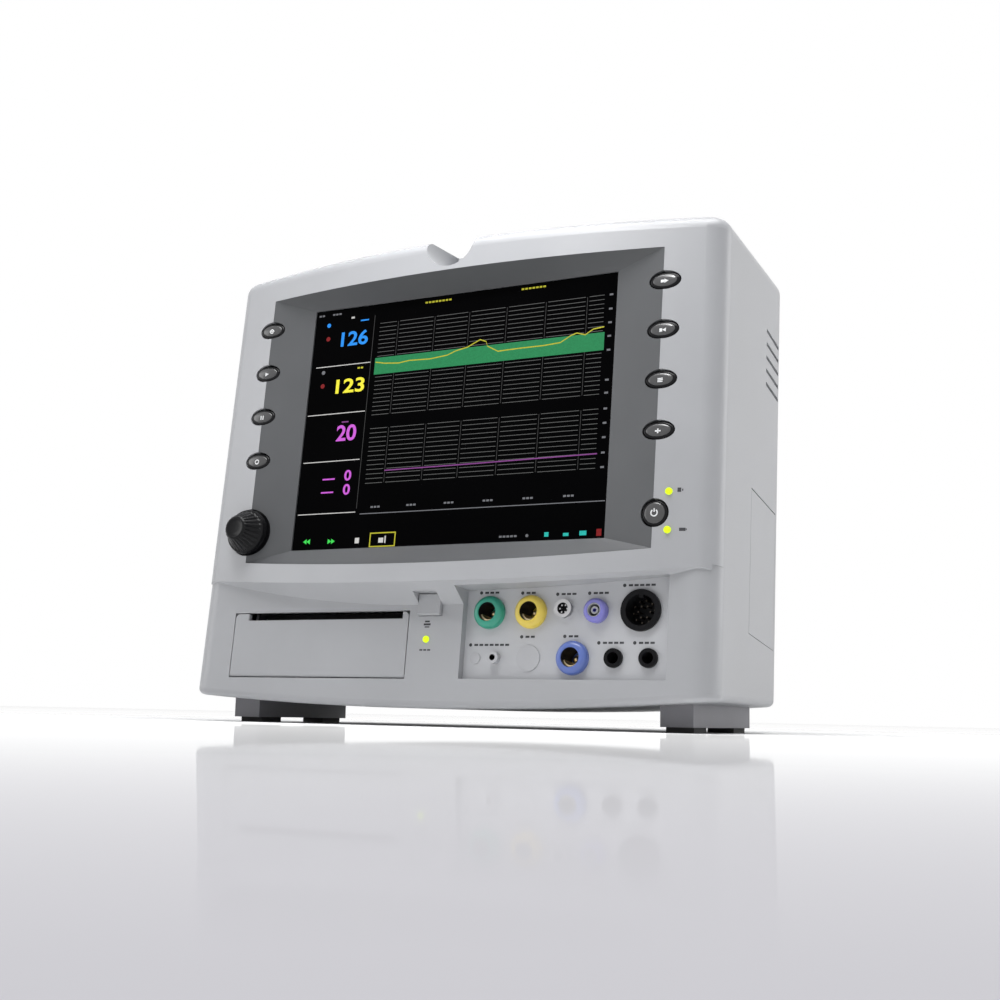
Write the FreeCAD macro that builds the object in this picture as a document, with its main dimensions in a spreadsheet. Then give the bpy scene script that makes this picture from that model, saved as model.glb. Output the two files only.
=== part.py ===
"""Desk-top fetal monitor: a tilted case with a screen, keys, a paper printer and a connector panel.

Everything is drawn in the case's own leaning frame (x across, y from front to back, z up along the screen)
and then leaned back by the tilt, so that the foot pads stand flat on the floor at z = 0.
"""
import FreeCAD, Part
import math
import os
import re

from FreeCAD import Placement, Rotation, Vector

# Driving dimensions in millimetres (the tilt in degrees, gear teeth as counts).
SIZES = {
    # Case
    "tilt": 6,
    "cut_overrun": 60,
    "front_reach": 60,
    "rear_reach": 170,
    "front_reach_width": 352,
    "side_taper": 37,
    "case_top": 294.4,
    "case_bottom": 10.2,
    "top_crown": 4.5,
    "bottom_crown": 6.5,
    "crown_inset": 6,
    "screen_plane": -19,
    "screen_mid": 183,
    "front_bulge": 17,
    "front_sag": 16,
    "panel_setback": -1,
    "rear_plane": 127,
    "split_plane": 48,
    "edge_radius": 9,
    "corner_radius": 13,
    "low_edge_radius": 4,
    "wall": 3,
    "seam_height": 86.2,
    "seam_sag": 7.2,
    "overhang_drop": 11,
    "overhang_margin": 11,
    # Clearances: fixed pieces, sliding pieces, running shafts
    "seat_gap": 0.1,
    "slide_gap": 0.3,
    "shaft_gap": 0.05,
    # Finger notch in the top edge
    "notch_height": 290,
    "notch_radius": 16.5,
    "notch_end": 2,
    # Screen and surround
    "surround_above": 88,
    "surround_below": 87,
    "surround_sag": 6,
    "surround_margin": 40.4,
    "wing_step": 1,
    "screen_margin": 70.4,
    "screen_height": 158.4,
    "glass_lap": 3,
    "glass_thick": 1.5,
    "gasket_thick": 1,
    "gasket_inset": 0.4,
    "lcd_side_border": 10.4,
    "lcd_edge_border": 6.8,
    "lcd_thick": 8,
    "bracket_thick": 1.5,
    "bracket_lap": 12.4,
    "bracket_rim": 38,
    "bracket_above": 87,
    "arm_height": 9,
    "arm_above": 76,
    "arm_below": 43,
    "arm_margin": 22,
    "boss_margin": 28,
    "boss_diameter": 8,
    # Keys, buttons and lamps
    "key_pitch": 29.5,
    "top_key_above": 68,
    "key_margin": 39.7,
    "key_length": 18.6,
    "key_height": 11,
    "key_proud": 5,
    "key_flange": 1,
    "key_flange_thick": 1.4,
    "key_flange_set": 6,
    "key_travel": 1,
    "key_round": 1.6,
    "switch_width": 6,
    "switch_gap": 0.3,
    "board_thick": 1.6,
    "board_inner": 12,
    "board_outer": 12.5,
    "board_above": 79,
    "board_below": 47,
    "control_below": 67.4,
    "power_diameter": 15.6,
    "power_board_below": 82,
    "lamp_spread": 10.7,
    "lamp_beside": 7.7,
    "lamp_above": 1.1,
    "lamp_diameter": 4,
    "lamp_proud": 0.6,
    # Knob and encoder
    "knob_skirt_diameter": 28,
    "knob_skirt_thick": 4.5,
    "knob_grip_base": 25,
    "knob_grip_face": 15,
    "knob_grip_length": 10.5,
    "knob_round": 2,
    "knob_gap": 1.2,
    "knob_travel": 0.8,
    "collar_diameter": 30,
    "collar_proud": 4.2,
    "collar_depth": 6.4,
    "encoder_width": 15,
    "encoder_depth": 14.6,
    "encoder_wall": 4,
    "encoder_shaft_diameter": 6,
    "plunger_thick": 1.6,
    # Printer
    "paper_side_gap": 1.4,
    "door_low": 25.7,
    "door_margin": 33.9,
    "door_inner": 16.1,
    "door_high": 64.5,
    "door_gap": 0.6,
    "door_corner": 3,
    "door_nub": 2,
    "door_nub_length": 2.4,
    "slot_height": 4.2,
    "slot_outer": 10,
    "slot_inner": 4,
    "frame_front": -8,
    "frame_depth": 76,
    "frame_floor": 30.5,
    "frame_top": 82,
    "frame_sheet": 2,
    "rest_rib": 4,
    "rest_rib_inset": 10,
    "platen_depth": 4,
    "platen_height": 62,
    "platen_diameter": 12,
    "platen_shaft_diameter": 4,
    "head_thick": 4,
    "head_depth": 10,
    "head_gap": 0.3,
    "gear_module": 0.8,
    "platen_teeth": 26,
    "pinion_teeth": 17,
    "gear_thick": 4,
    "gear_gap": 1,
    "gear_backlash": 0.12,
    "motor_diameter": 20,
    "motor_length": 24,
    "motor_shaft_diameter": 2.4,
    "motor_angle": -35,
    "bracket_margin": 4,
    "bracket_post_diameter": 4,
    "print_button_side": -1.4,
    "print_button_height": 68.1,
    "print_button_width": 15,
    "print_button_tall": 12.6,
    "print_button_proud": 2.6,
    "print_switch_depth": 6,
    "printer_lamp_side": -3,
    "printer_lamp_height": 48,
    # Connector panel and sockets
    "recess_left": 20,
    "recess_margin": 30.9,
    "recess_low": 25.4,
    "recess_high": 83,
    "recess_depth": 5,
    "recess_lip": 2.2,
    "panel_lap": 2.5,
    "panel_thick": 2.5,
    "upper_row": 63.8,
    "lower_row": 37.8,
    "ring_diameter": 19,
    "ring_bore": 11,
    "ring_proud": 5,
    "ring_round": 3.4,
    "barrel_diameter": 16,
    "barrel_length": 14,
    "contact_diameter": 8,
    "contact_length": 3.5,
    "multi_pin_height": 65.3,
    "multi_pin_diameter": 10.4,
    "multi_pin_proud": 3,
    "multi_pin_wall": 1,
    "multi_pin_circle": 4.4,
    "multi_pin_pin": 1,
    "hose_base_diameter": 13.8,
    "hose_base_proud": 5,
    "hose_round": 2.4,
    "hose_mouth": 8,
    "hose_barrel": 11,
    "hose_nipple": 4,
    "hose_nipple_proud": 3.6,
    "hose_bore": 2,
    "large_diameter": 23,
    "large_proud": 2.4,
    "large_bore": 17,
    "large_barrel": 19.6,
    "large_depth": 12,
    "jack_diameter": 10.6,
    "jack_proud": 2,
    "jack_bore": 6.4,
    "jack_barrel": 9,
    "jack_length": 24,
    "probe_diameter": 6.8,
    "probe_proud": 4,
    "probe_bore": 3.6,
    "probe_length": 12,
    "small_blank_diameter": 6.6,
    "large_blank_diameter": 14.6,
    "blank_proud": 0.5,
    "blank_rim": 1.2,
    # Chassis and boards
    "standoff_above": 70,
    "standoff_below": 70,
    "standoff_margin": 68,
    "standoff_diameter": 7,
    "chassis_set": 24,
    "chassis_thick": 1.5,
    "chassis_margin": 42,
    "chassis_low": 97,
    "chassis_high": 264,
    "stub_height": 5,
    "stub_diameter": 6,
    "main_low": 104,
    "main_high": 256,
    "main_inset": 8,
    "main_margin": 8,
    "main_beside": 14,
    "chip_width": 24,
    "chip_thick": 3,
    "supply_low": 160,
    "supply_high": 256,
    "supply_depth": 40,
    "supply_margin": 6,
    "supply_width": 62,
    "pump_height": 128,
    "pump_diameter": 18,
    "pump_length": 44,
    "pump_margin": 30,
    "pump_foot": 2,
    # Rear fittings
    "speaker_height": 205,
    "speaker_diameter": 58,
    "speaker_depth": 20,
    "speaker_margin": 88,
    "speaker_magnet": 32,
    "grille_pitch": 7,
    "grille_slot": 3,
    "inlet_height": 62,
    "inlet_width": 48,
    "inlet_tall": 27,
    "inlet_mouth_width": 27,
    "inlet_mouth_tall": 19,
    "inlet_depth": 24,
    "inlet_margin": 90,
    "inlet_proud": 1.5,
    "inlet_floor": 4,
    "inlet_pin_length": 12,
    "inlet_pin_thick": 2.2,
    "inlet_pin_wide": 4.2,
    "inlet_pin_spread": 7,
    "stud_height": 62,
    "stud_diameter": 6,
    "stud_length": 10,
    "stud_beside": 52,
    "stud_base_diameter": 12,
    "stud_base_thick": 2,
    # Battery and its cover
    "cover_front": 51.5,
    "cover_back": 116,
    "cover_low": 62,
    "cover_high": 148,
    "cover_gap": 0.8,
    "cover_seat_gap": 0.4,
    "cover_hinge_below": 1.5,
    "cover_nub": 1.8,
    "cover_nub_length": 1.6,
    "holder_wall": 2,
    "holder_depth": 78,
    "battery_gap": 0.4,
    "battery_front_gap": 1.2,
    # Vents
    "vent_count": 5,
    "vent_front": 84,
    "vent_back": 118,
    "vent_top": 258,
    "vent_pitch": 8.7,
    "vent_slot": 2.4,
    # Screws
    "post_diameter": 9,
    "upper_post_margin": 36,
    "lower_post_margin": 23,
    "upper_post_height": 270,
    "left_post_height": 77,
    "right_post_height": 38,
    "screw_diameter": 3.4,
    "screw_head_diameter": 6.4,
    "screw_head_thick": 2.6,
    "screw_sink": 9,
    "screw_bite": 16,
    # Feet
    "rail_width": 19,
    "rail_margin": 42,
    "rail_front": 4,
    "rail_length": 97,
    "rail_bottom": 3,
    "rail_top": 60,
    "pad_width": 16,
    "pad_length": 20,
    "pad_inset": 5,
}

# How far across the connector recess each fitting stands, as a share of the recess's width.
RECESS_SHARES = {
    "green_side": 0.12252964,
    "yellow_side": 0.33201581,
    "multi_pin_side": 0.49407115,
    "hose_side": 0.65217391,
    "large_side": 0.86166008,
    "small_blank_side": 0.05928854,
    "probe_side": 0.16205534,
    "large_blank_side": 0.32806324,
    "blue_side": 0.54940711,
    "left_jack_side": 0.743083,
    "right_jack_side": 0.90513834,
}

# How far the slanted faces round the screen are carried on past the case's front before it trims them.
CARRY_ON_SHARE = 0.3

# Sizes across the case that follow its width, each from a margin to the case's side or to a neighbour.
FOLLOWS = {
    "half_width": "front_reach_width/2",
    "rear_reach_width": "front_reach_width - side_taper",
    "crown_chord": "front_reach_width - 2*crown_inset",
    "overhang_half": "half_width - overhang_margin",
    "front_radius": "(overhang_half^2 + front_sag^2)/(2*front_sag)",
    "surround_width": "front_reach_width - 2*surround_margin",
    "screen_width": "front_reach_width - 2*screen_margin",
    "bracket_half": "screen_width/2 + bracket_lap",
    "bracket_window_half": "bracket_half - bracket_rim",
    "arm_reach": "half_width - arm_margin",
    "boss_side": "half_width - boss_margin",
    "key_side": "half_width - key_margin",
    "lamp_side": "key_side + lamp_beside",
    "door_width": "half_width - door_margin - door_inner",
    "door_mid": "-(door_inner + door_width/2)",
    "paper_width": "door_width - slot_outer - slot_inner",
    "printer_mid": "door_mid + (slot_outer - slot_inner)/2",
    "recess_right": "half_width - recess_margin",
    "standoff_side": "half_width - standoff_margin",
    "chassis_half": "half_width - chassis_margin",
    "main_left": "chassis_half - main_margin",
    "supply_right": "chassis_half - supply_margin",
    "supply_left": "supply_right - supply_width",
    "main_right": "supply_left - main_beside",
    "pump_side": "supply_right - pump_margin",
    "speaker_side": "-(half_width - speaker_margin)",
    "inlet_side": "-(half_width - inlet_margin)",
    "stud_side": "inlet_side + stud_beside",
    "upper_post_side": "half_width - upper_post_margin",
    "lower_post_side": "half_width - lower_post_margin",
    "rail_inner": "half_width - rail_margin",
}
for fitting, share in RECESS_SHARES.items():
    FOLLOWS[fitting] = f"recess_left + {share}*(recess_right - recess_left)"

doc = FreeCAD.newDocument("FetalMonitor")
sheet = doc.addObject("Spreadsheet::Sheet", "Sheet")
cells = [(alias, str(value)) for alias, value in SIZES.items()]
cells += [(alias, f"={text}") for alias, text in FOLLOWS.items()]
cells.append(("depth_shift", "0"))
for row, (alias, content) in enumerate(cells, start=1):
    sheet.set(f"A{row}", alias)
    sheet.setAlias(f"B{row}", alias)
    sheet.set(f"B{row}", content)
SHIFT_CELL = f"B{len(cells)}"
doc.recompute()

ALIASES = {alias for alias, content in cells}
ALL = "cut_overrun + case_top + rear_plane"
X_AXIS = Vector(1, 0, 0)
Y_AXIS = Vector(0, 1, 0)
PIECES = []

# Planes that many pieces share, from front to back
CREST = "(screen_plane - front_bulge)"
PANEL = "(screen_plane + panel_setback)"
PANEL_BACK = f"({PANEL} + wall)"
WING = "(screen_plane - wing_step)"
GLASS_BACK = "(screen_plane + glass_thick)"
LCD_FRONT = f"({GLASS_BACK} + gasket_thick)"
LCD_BACK = f"({LCD_FRONT} + lcd_thick)"
BOARD_FRONT = f"({LCD_BACK} + bracket_thick)"
RECESS_FLOOR = f"({PANEL} + recess_depth)"
PANEL_REAR = f"({RECESS_FLOOR} + panel_thick)"
CHASSIS_BACK = "(chassis_set + chassis_thick)"
REAR_INSIDE = "(rear_plane - wall)"
SEAM_LEVEL = "(seam_height + wall/2)"

# The case's sides close in at this slope, and run on past the leaning back before it is cut.
SIDE_SLOPE = "((front_reach_width - rear_reach_width)/2/(front_reach + rear_reach))"
SIDE_END = "(rear_plane + case_top)"
SIDE_END_HALF = f"(half_width - {SIDE_SLOPE}*(front_reach + {SIDE_END}))"


def size(alias):
    """One cell of the sheet as a number."""
    return float(sheet.get(alias))


def worth(text):
    """An expression in the sheet's words as a number."""
    return float(sheet.evalExpression(words(text)))


def words(text):
    """Expression text with each of the sheet's words turned into a reference to its cell."""
    def refer(match):
        word = match.group(0)
        return f"Sheet.{word}" if word in ALIASES else word
    return re.sub(r"[A-Za-z_]\w*", refer, str(text))


def bind(thing, **sizes):
    for name, text in sizes.items():
        thing.setExpression(name, words(text))
    return thing


def at(thing, x="0", y="0", z="0"):
    for letter, text in zip("xyz", (x, y, z)):
        thing.setExpression(f"Placement.Base.{letter}", words(text))
    return thing


def box(x, y, z):
    """A block between a low and a high expression on each axis."""
    block = doc.addObject("Part::Box", "Block")
    bind(block, Length=f"({x[1]}) - ({x[0]})", Width=f"({y[1]}) - ({y[0]})",
         Height=f"({z[1]}) - ({z[0]})")
    return at(block, x[0], y[0], z[0])


def around(middle, width):
    return (f"({middle}) - ({width})/2", f"({middle}) + ({width})/2")


def both(half):
    return (f"-({half})", half)


def grown(span, gap):
    return (f"({span[0]}) - ({gap})", f"({span[1]}) + ({gap})")


def rod_y(x, z, diameter, y):
    """A round bar from front to back."""
    bar = doc.addObject("Part::Cylinder", "Rod")
    bar.Placement = Placement(Vector(), Rotation(X_AXIS, -90))
    bind(bar, Radius=f"({diameter})/2", Height=f"({y[1]}) - ({y[0]})")
    return at(bar, x, y[0], z)


def cone_y(x, z, front, back, y):
    """A round bar from front to back that widens evenly from its front diameter to its back one."""
    bar = doc.addObject("Part::Cone", "Cone")
    bar.Placement = Placement(Vector(), Rotation(X_AXIS, -90))
    bind(bar, Radius1=f"({front})/2", Radius2=f"({back})/2", Height=f"({y[1]}) - ({y[0]})")
    return at(bar, x, y[0], z)


def rod_x(y, z, diameter, x):
    """A round bar from left to right."""
    bar = doc.addObject("Part::Cylinder", "Rod")
    bar.Placement = Placement(Vector(), Rotation(Y_AXIS, 90))
    bind(bar, Radius=f"({diameter})/2", Height=f"({x[1]}) - ({x[0]})")
    return at(bar, x[0], y, z)


def oval_y(x, z, length, height, y):
    """An oval bar from front to back."""
    rim = doc.addObject("Part::Ellipse", "Oval")
    rim.Placement = Placement(Vector(), Rotation(X_AXIS, -90))
    bind(rim, MajorRadius=f"({length})/2", MinorRadius=f"({height})/2")
    at(rim, x, y[0], z)
    bar = doc.addObject("Part::Extrusion", "OvalBar")
    bar.Base = rim
    bar.DirMode = "Normal"
    bar.Solid = True
    return bind(bar, LengthFwd=f"({y[1]}) - ({y[0]})")


def fuse(*parts):
    if len(parts) == 1:
        return parts[0]
    joined = doc.addObject("Part::MultiFuse", "Fuse")
    joined.Shapes = list(parts)
    joined.Refine = True
    return joined


def common(*parts):
    shared = doc.addObject("Part::MultiCommon", "Common")
    shared.Shapes = list(parts)
    return shared


def cut(base, *tools):
    rest = doc.addObject("Part::Cut", "Cut")
    rest.Base = base
    rest.Tool = fuse(*tools)
    return rest


def rounded(base, radius, chosen=None):
    """The base with its edges rounded: all of them, or those that the test picks by their place."""
    doc.recompute()
    edges = enumerate(base.Shape.Edges, start=1)
    numbers = [number for number, edge in edges if chosen is None or chosen(edge)]
    soft = doc.addObject("Part::Fillet", "Rounded")
    soft.Base = base
    soft.Edges = [(number, worth(radius), worth(radius)) for number in numbers]
    return soft


def facing(plane):
    """A test for edges that lie whole in the front plane."""
    depth = worth(plane)

    def lies_there(edge):
        slack = edge.Length / 1000
        return abs(edge.BoundBox.YMin - depth) < slack and edge.BoundBox.YLength < slack
    return lies_there


def piece(name, *solids):
    """Gather one finished sub-part under its name and lean it back with the case."""
    whole = doc.addObject("Part::Compound", "Piece")
    whole.Links = list(solids)
    whole.Label = name
    whole.Placement = Placement(Vector(), Rotation(Vector(-1, 0, 0), 1))
    bind(whole, **{"Placement.Rotation.Angle": "tilt", "Placement.Base.y": "depth_shift"})
    PIECES.append(whole)


def levelled(y, z):
    """The leaning frame's depth and height of a point that is given level with the floor."""
    return (f"({y})*cos(tilt) - ({z})*sin(tilt)", f"({y})*sin(tilt) + ({z})*cos(tilt)")


def level_box(x, y, z):
    """A block that stands level with the floor once the case is leaned back."""
    block = box(x, y, z)
    block.Placement = Placement(Vector(), Rotation(X_AXIS, 1))
    bind(block, **{"Placement.Rotation.Angle": "tilt"})
    depth, height = levelled(y[0], z[0])
    return at(block, x[0], depth, height)


# Case envelope

def crown(inset, radius, middle):
    """A wide drum from front to back whose rim is the arched top or bottom."""
    drum = doc.addObject("Part::Cylinder", "Crown")
    drum.Placement = Placement(Vector(), Rotation(X_AXIS, 1))
    bind(drum, Radius=f"{radius} - {inset}", Height=f"front_reach + {SIDE_END}")
    bind(drum, **{"Placement.Rotation.Angle": "tilt - 90"})
    depth, height = levelled("-front_reach", middle)
    return at(drum, "0", depth, height)


def case_block(inset, front):
    """The case's outside, or its inside one wall in, with a bulged or a flat front."""
    taper = doc.addObject("Part::Wedge", "Taper")
    bind(taper, Xmin=f"{inset} - half_width", Xmax=f"half_width - {inset}",
         X2min=f"{inset} - {SIDE_END_HALF}", X2max=f"{SIDE_END_HALF} - {inset}",
         Ymin="-front_reach", Ymax=SIDE_END, Zmin="-cut_overrun", Z2min="-cut_overrun",
         Zmax="case_top + cut_overrun", Z2max="case_top + cut_overrun")
    taper.Placement = Placement(Vector(), Rotation(X_AXIS, 1))
    bind(taper, **{"Placement.Rotation.Angle": "tilt"})
    top_radius = "((crown_chord/2)^2 + top_crown^2)/(2*top_crown)"
    low_radius = "((crown_chord/2)^2 + bottom_crown^2)/(2*bottom_crown)"
    limits = [taper,
              crown(inset, top_radius, f"case_top - {top_radius}"),
              crown(inset, low_radius, f"case_bottom + {low_radius}")]
    near = PANEL if front == "flat" else f"{CREST} - cut_overrun"
    limits.append(box(both("front_reach_width"), (f"{near} + {inset}", f"rear_plane - {inset}"),
                      both(ALL)))
    if front == "bulged":
        drum = doc.addObject("Part::Cylinder", "FrontDrum")
        bind(drum, Radius=f"front_radius - {inset}", Height=f"2*({ALL})")
        limits.append(at(drum, "0", f"{CREST} + front_radius", f"-({ALL})"))
    return softened(common(*limits), inset)


def softened(block, inset):
    """The block with its front corners, its lower edges and the rest rounded by their own radii."""
    doc.recompute()

    def radius(edge):
        reach = edge.BoundBox
        if reach.ZLength > size("case_top") / 2 and reach.YMax < size("split_plane"):
            return worth(f"corner_radius - {inset}")
        if reach.ZMax < size("seam_height"):
            return worth(f"low_edge_radius - {inset}")
        return worth(f"edge_radius - {inset}")

    soft = doc.addObject("Part::Fillet", "Softened")
    soft.Base = block
    soft.Edges = [(number, radius(edge), radius(edge)) for number, edge in enumerate(block.Shape.Edges, 1)]
    return soft


def front_at(x):
    """How deep the bulged front lies at a place across the case."""
    return f"({CREST} + front_radius - sqrt(front_radius^2 - ({x})^2))"


def sagging(half, height, sag, far, start, run):
    """A block drawn along a run; one edge is an arc that has its height at both halves and sags between."""
    half, height, sag, far, start = (worth(each) for each in (half, height, sag, far, start))
    wide = size("front_reach_width")
    radius = (half ** 2 + sag ** 2) / (2 * sag)
    middle = Vector(0, start, height - sag)
    side = middle.z + radius - math.sqrt(radius ** 2 - wide ** 2)
    left, right = Vector(-wide, start, side), Vector(wide, start, side)
    far_left, far_right = Vector(-wide, start, far), Vector(wide, start, far)
    rim = [Part.Arc(left, middle, right).toShape(), Part.makeLine(right, far_right),
           Part.makeLine(far_right, far_left), Part.makeLine(far_left, left)]
    block = doc.addObject("Part::Feature", "Sagging")
    block.Shape = Part.Face(Part.Wire(rim)).extrude(run)
    return block


def overhang():
    """What lies above the slanted underside of the seam, from the front back to the lower panel's wall."""
    fall = worth(f"overhang_drop/({PANEL} - {CREST})")
    start = f"({CREST} - cut_overrun)"
    depth = worth(f"{PANEL_BACK} - {start}")
    at_sides = f"seam_height + {fall}*({PANEL} - {start})"
    return sagging("overhang_half", at_sides, "seam_sag + overhang_drop", f"2*({ALL})", start,
                   Vector(0, depth, -fall * depth))


def above(height):
    return box(both("front_reach_width"), both(ALL), (height, f"{height} + {ALL}"))


def below(height):
    return box(both("front_reach_width"), both(ALL), (f"{height} - ({ALL})", height))


def envelope():
    upper = common(case_block("0", "bulged"), fuse(above(SEAM_LEVEL), overhang()))
    return fuse(upper, common(case_block("0", "flat"), below(SEAM_LEVEL)))


def cavity():
    return fuse(common(case_block("wall", "bulged"), above(SEAM_LEVEL)),
                common(case_block("wall", "flat"), below(SEAM_LEVEL)))


OUTSIDE = envelope()
INSIDE = cavity()
SHELL = cut(OUTSIDE, INSIDE)

KEY_HEIGHTS = [f"(screen_mid + top_key_above - {number}*key_pitch)" for number in range(4)]
CONTROL = "(screen_mid - control_below)"
SIDES = {"left": "-", "right": ""}
POSTS = [("-upper_post_side", "upper_post_height"), ("upper_post_side", "upper_post_height"),
         ("-lower_post_side", "left_post_height"), ("lower_post_side", "right_post_height")]
ARM_HEIGHTS = ("(screen_mid + arm_above)", "(screen_mid - arm_below)")
SURROUND_TALL = ("screen_mid - surround_below", "screen_mid + surround_above")
THROUGH = (f"{CREST} - cut_overrun", "screen_plane + key_flange_set + cut_overrun")
DOOR_WIDE = around("door_mid", "door_width")
HINGE_HEIGHT = "(door_low + wall/2)"
HINGE_DEPTH = f"({PANEL} + wall/2)"
RECESS_WIDE = ("recess_left", "recess_right")
RECESS_TALL = ("recess_low", "recess_high")
COVER_DEEP = ("cover_front", "cover_back")
COVER_TALL = ("cover_low", "cover_high")
LAMP_HEIGHTS = [f"({CONTROL} + lamp_above {edge} lamp_spread)" for edge in ("+", "-")]
NICHE_WIDE = around("print_button_side", "print_button_width + 2*slide_gap")
NICHE_TALL = around("print_button_height", "print_button_tall + 2*slide_gap")


def key_holes():
    tools = []
    for sign in SIDES.values():
        for height in KEY_HEIGHTS:
            tools.append(oval_y(f"{sign}key_side", height, "key_length + 2*slide_gap",
                                "key_height + 2*slide_gap", THROUGH))
    tools.append(rod_y("key_side", CONTROL, "power_diameter + 2*slide_gap", THROUGH))
    tools.append(rod_y("-key_side", CONTROL, "collar_diameter + 2*seat_gap", THROUGH))
    return tools


def surround_block(gap, y):
    """The surround's outline, with the lower edge sagging in the middle, between two depths."""
    low = f"({SURROUND_TALL[0]} - {gap})"
    tall = (f"{low} - surround_sag", f"{SURROUND_TALL[1]} + {gap}")
    block = box(both(f"surround_width/2 + {gap}"), y, tall)
    depth = Vector(0, worth(f"({y[1]}) - ({y[0]})"), 0)
    return common(block, sagging("surround_width/2", low, "surround_sag", ALL, y[0], depth))


def recess_hole():
    """The connector recess, whose ceiling follows the seam's edge."""
    block = box(RECESS_WIDE, (f"{CREST} - cut_overrun", PANEL_REAR), ("recess_low", "seam_height"))
    return common(block, sagging("overhang_half", "seam_height - recess_lip", "seam_sag", f"-({ALL})",
                                 f"{CREST} - cut_overrun", Vector(0, worth(ALL), 0)))


# Housings

def front_housing():
    solids = [common(SHELL, box(both("front_reach_width"), (f"-({ALL})", "split_plane"), both(ALL)))]
    for x, z in POSTS:
        solids.append(common(rod_y(x, z, "post_diameter", (CREST, "split_plane")), OUTSIDE))
    for sign in SIDES.values():
        for z in ARM_HEIGHTS:
            solids.append(common(rod_y(f"{sign}boss_side", z, "boss_diameter", (CREST, LCD_BACK)),
                                 OUTSIDE))
    solids.append(common(rod_y("0", "notch_height", "2*(notch_radius + wall)",
                               (CREST, "notch_end + wall")), OUTSIDE))
    collar = box(grown(RECESS_WIDE, "panel_lap"), (PANEL, RECESS_FLOOR), grown(RECESS_TALL, "panel_lap"))
    solids.append(common(collar, OUTSIDE))
    for edge in ("-", "+"):
        x = f"printer_mid {edge} (paper_width/2 - rest_rib_inset)"
        rib = box(around(x, "rest_rib"), ("frame_front", "split_plane"), ("0", "frame_floor"))
        solids.append(common(rib, OUTSIDE))
        post_x = f"print_button_side {edge} (print_button_width/2 + rest_rib)"
        solids.append(rod_y(post_x, "print_button_height", "rest_rib",
                            (PANEL_BACK, f"{PANEL_BACK} + print_switch_depth")))
    body = fuse(*solids)
    tools = [surround_block("seat_gap", THROUGH)] + key_holes()
    tools += [rod_y("lamp_side", z, "lamp_diameter", THROUGH) for z in LAMP_HEIGHTS]
    tools.append(rod_y("0", "notch_height", "2*notch_radius", (f"{CREST} - cut_overrun", "notch_end")))
    tools.append(box(grown(DOOR_WIDE, "door_gap"), (f"{CREST} - cut_overrun", "frame_front"),
                     grown(("door_low", "door_high"), "door_gap")))
    tools.append(rod_x(HINGE_DEPTH, HINGE_HEIGHT, "door_nub + 2*shaft_gap",
                       grown(DOOR_WIDE, "door_nub_length + door_gap")))
    tools.append(box(NICHE_WIDE, (f"{CREST} - cut_overrun", f"{PANEL_BACK} + slide_gap"), NICHE_TALL))
    tools.append(rod_y("printer_lamp_side", "printer_lamp_height", "lamp_diameter",
                       (f"{CREST} - cut_overrun", PANEL_REAR)))
    tools.append(recess_hole())
    for x, z in POSTS:
        tools.append(rod_y(x, z, "screw_diameter + 2*shaft_gap",
                           ("split_plane - screw_bite", "split_plane + cut_overrun")))
    return cut(body, *tools)


def rear_housing():
    solids = [common(SHELL, box(both("front_reach_width"), ("split_plane", ALL), both(ALL)))]
    for x, z in POSTS:
        solids.append(common(rod_y(x, z, "post_diameter", ("split_plane", "rear_plane")), OUTSIDE))
    tools = []
    for x, z in POSTS:
        tools.append(rod_y(x, z, "screw_diameter + 2*shaft_gap",
                           ("split_plane - cut_overrun", "rear_plane + cut_overrun")))
        tools.append(rod_y(x, z, "screw_head_diameter + 2*seat_gap",
                           ("rear_plane - screw_sink", "rear_plane + cut_overrun")))
    tools.append(box(("0", ALL), COVER_DEEP, COVER_TALL))
    tools.append(hinge_bar("cover_nub + 2*shaft_gap", "cover_nub_length + cover_seat_gap"))
    for sign in SIDES.values():
        for number in range(int(size("vent_count"))):
            z = f"vent_top - {number}*vent_pitch"
            side = ("0", ALL) if sign == "" else (f"-({ALL})", "0")
            tools.append(box(side, ("vent_front", "vent_back"), around(z, "vent_slot")))
    for row in range(-3, 4):
        half = f"sqrt((speaker_diameter/2 - wall)^2 - ({row}*grille_pitch)^2)"
        tools.append(box(around("speaker_side", f"2*{half}"), (REAR_INSIDE, "rear_plane + cut_overrun"),
                         around(f"speaker_height + {row}*grille_pitch", "grille_slot")))
    rear_through = ("split_plane + cut_overrun", "rear_plane + cut_overrun")
    inlet_body = grown(around("inlet_side", "inlet_mouth_width + 2*wall"), "seat_gap")
    tools.append(box(inlet_body, rear_through,
                     grown(around("inlet_height", "inlet_mouth_tall + 2*wall"), "seat_gap")))
    tools.append(rod_y("stud_side", "stud_height", "stud_diameter", rear_through))
    return cut(fuse(*solids), *tools)


# Screen

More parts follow.
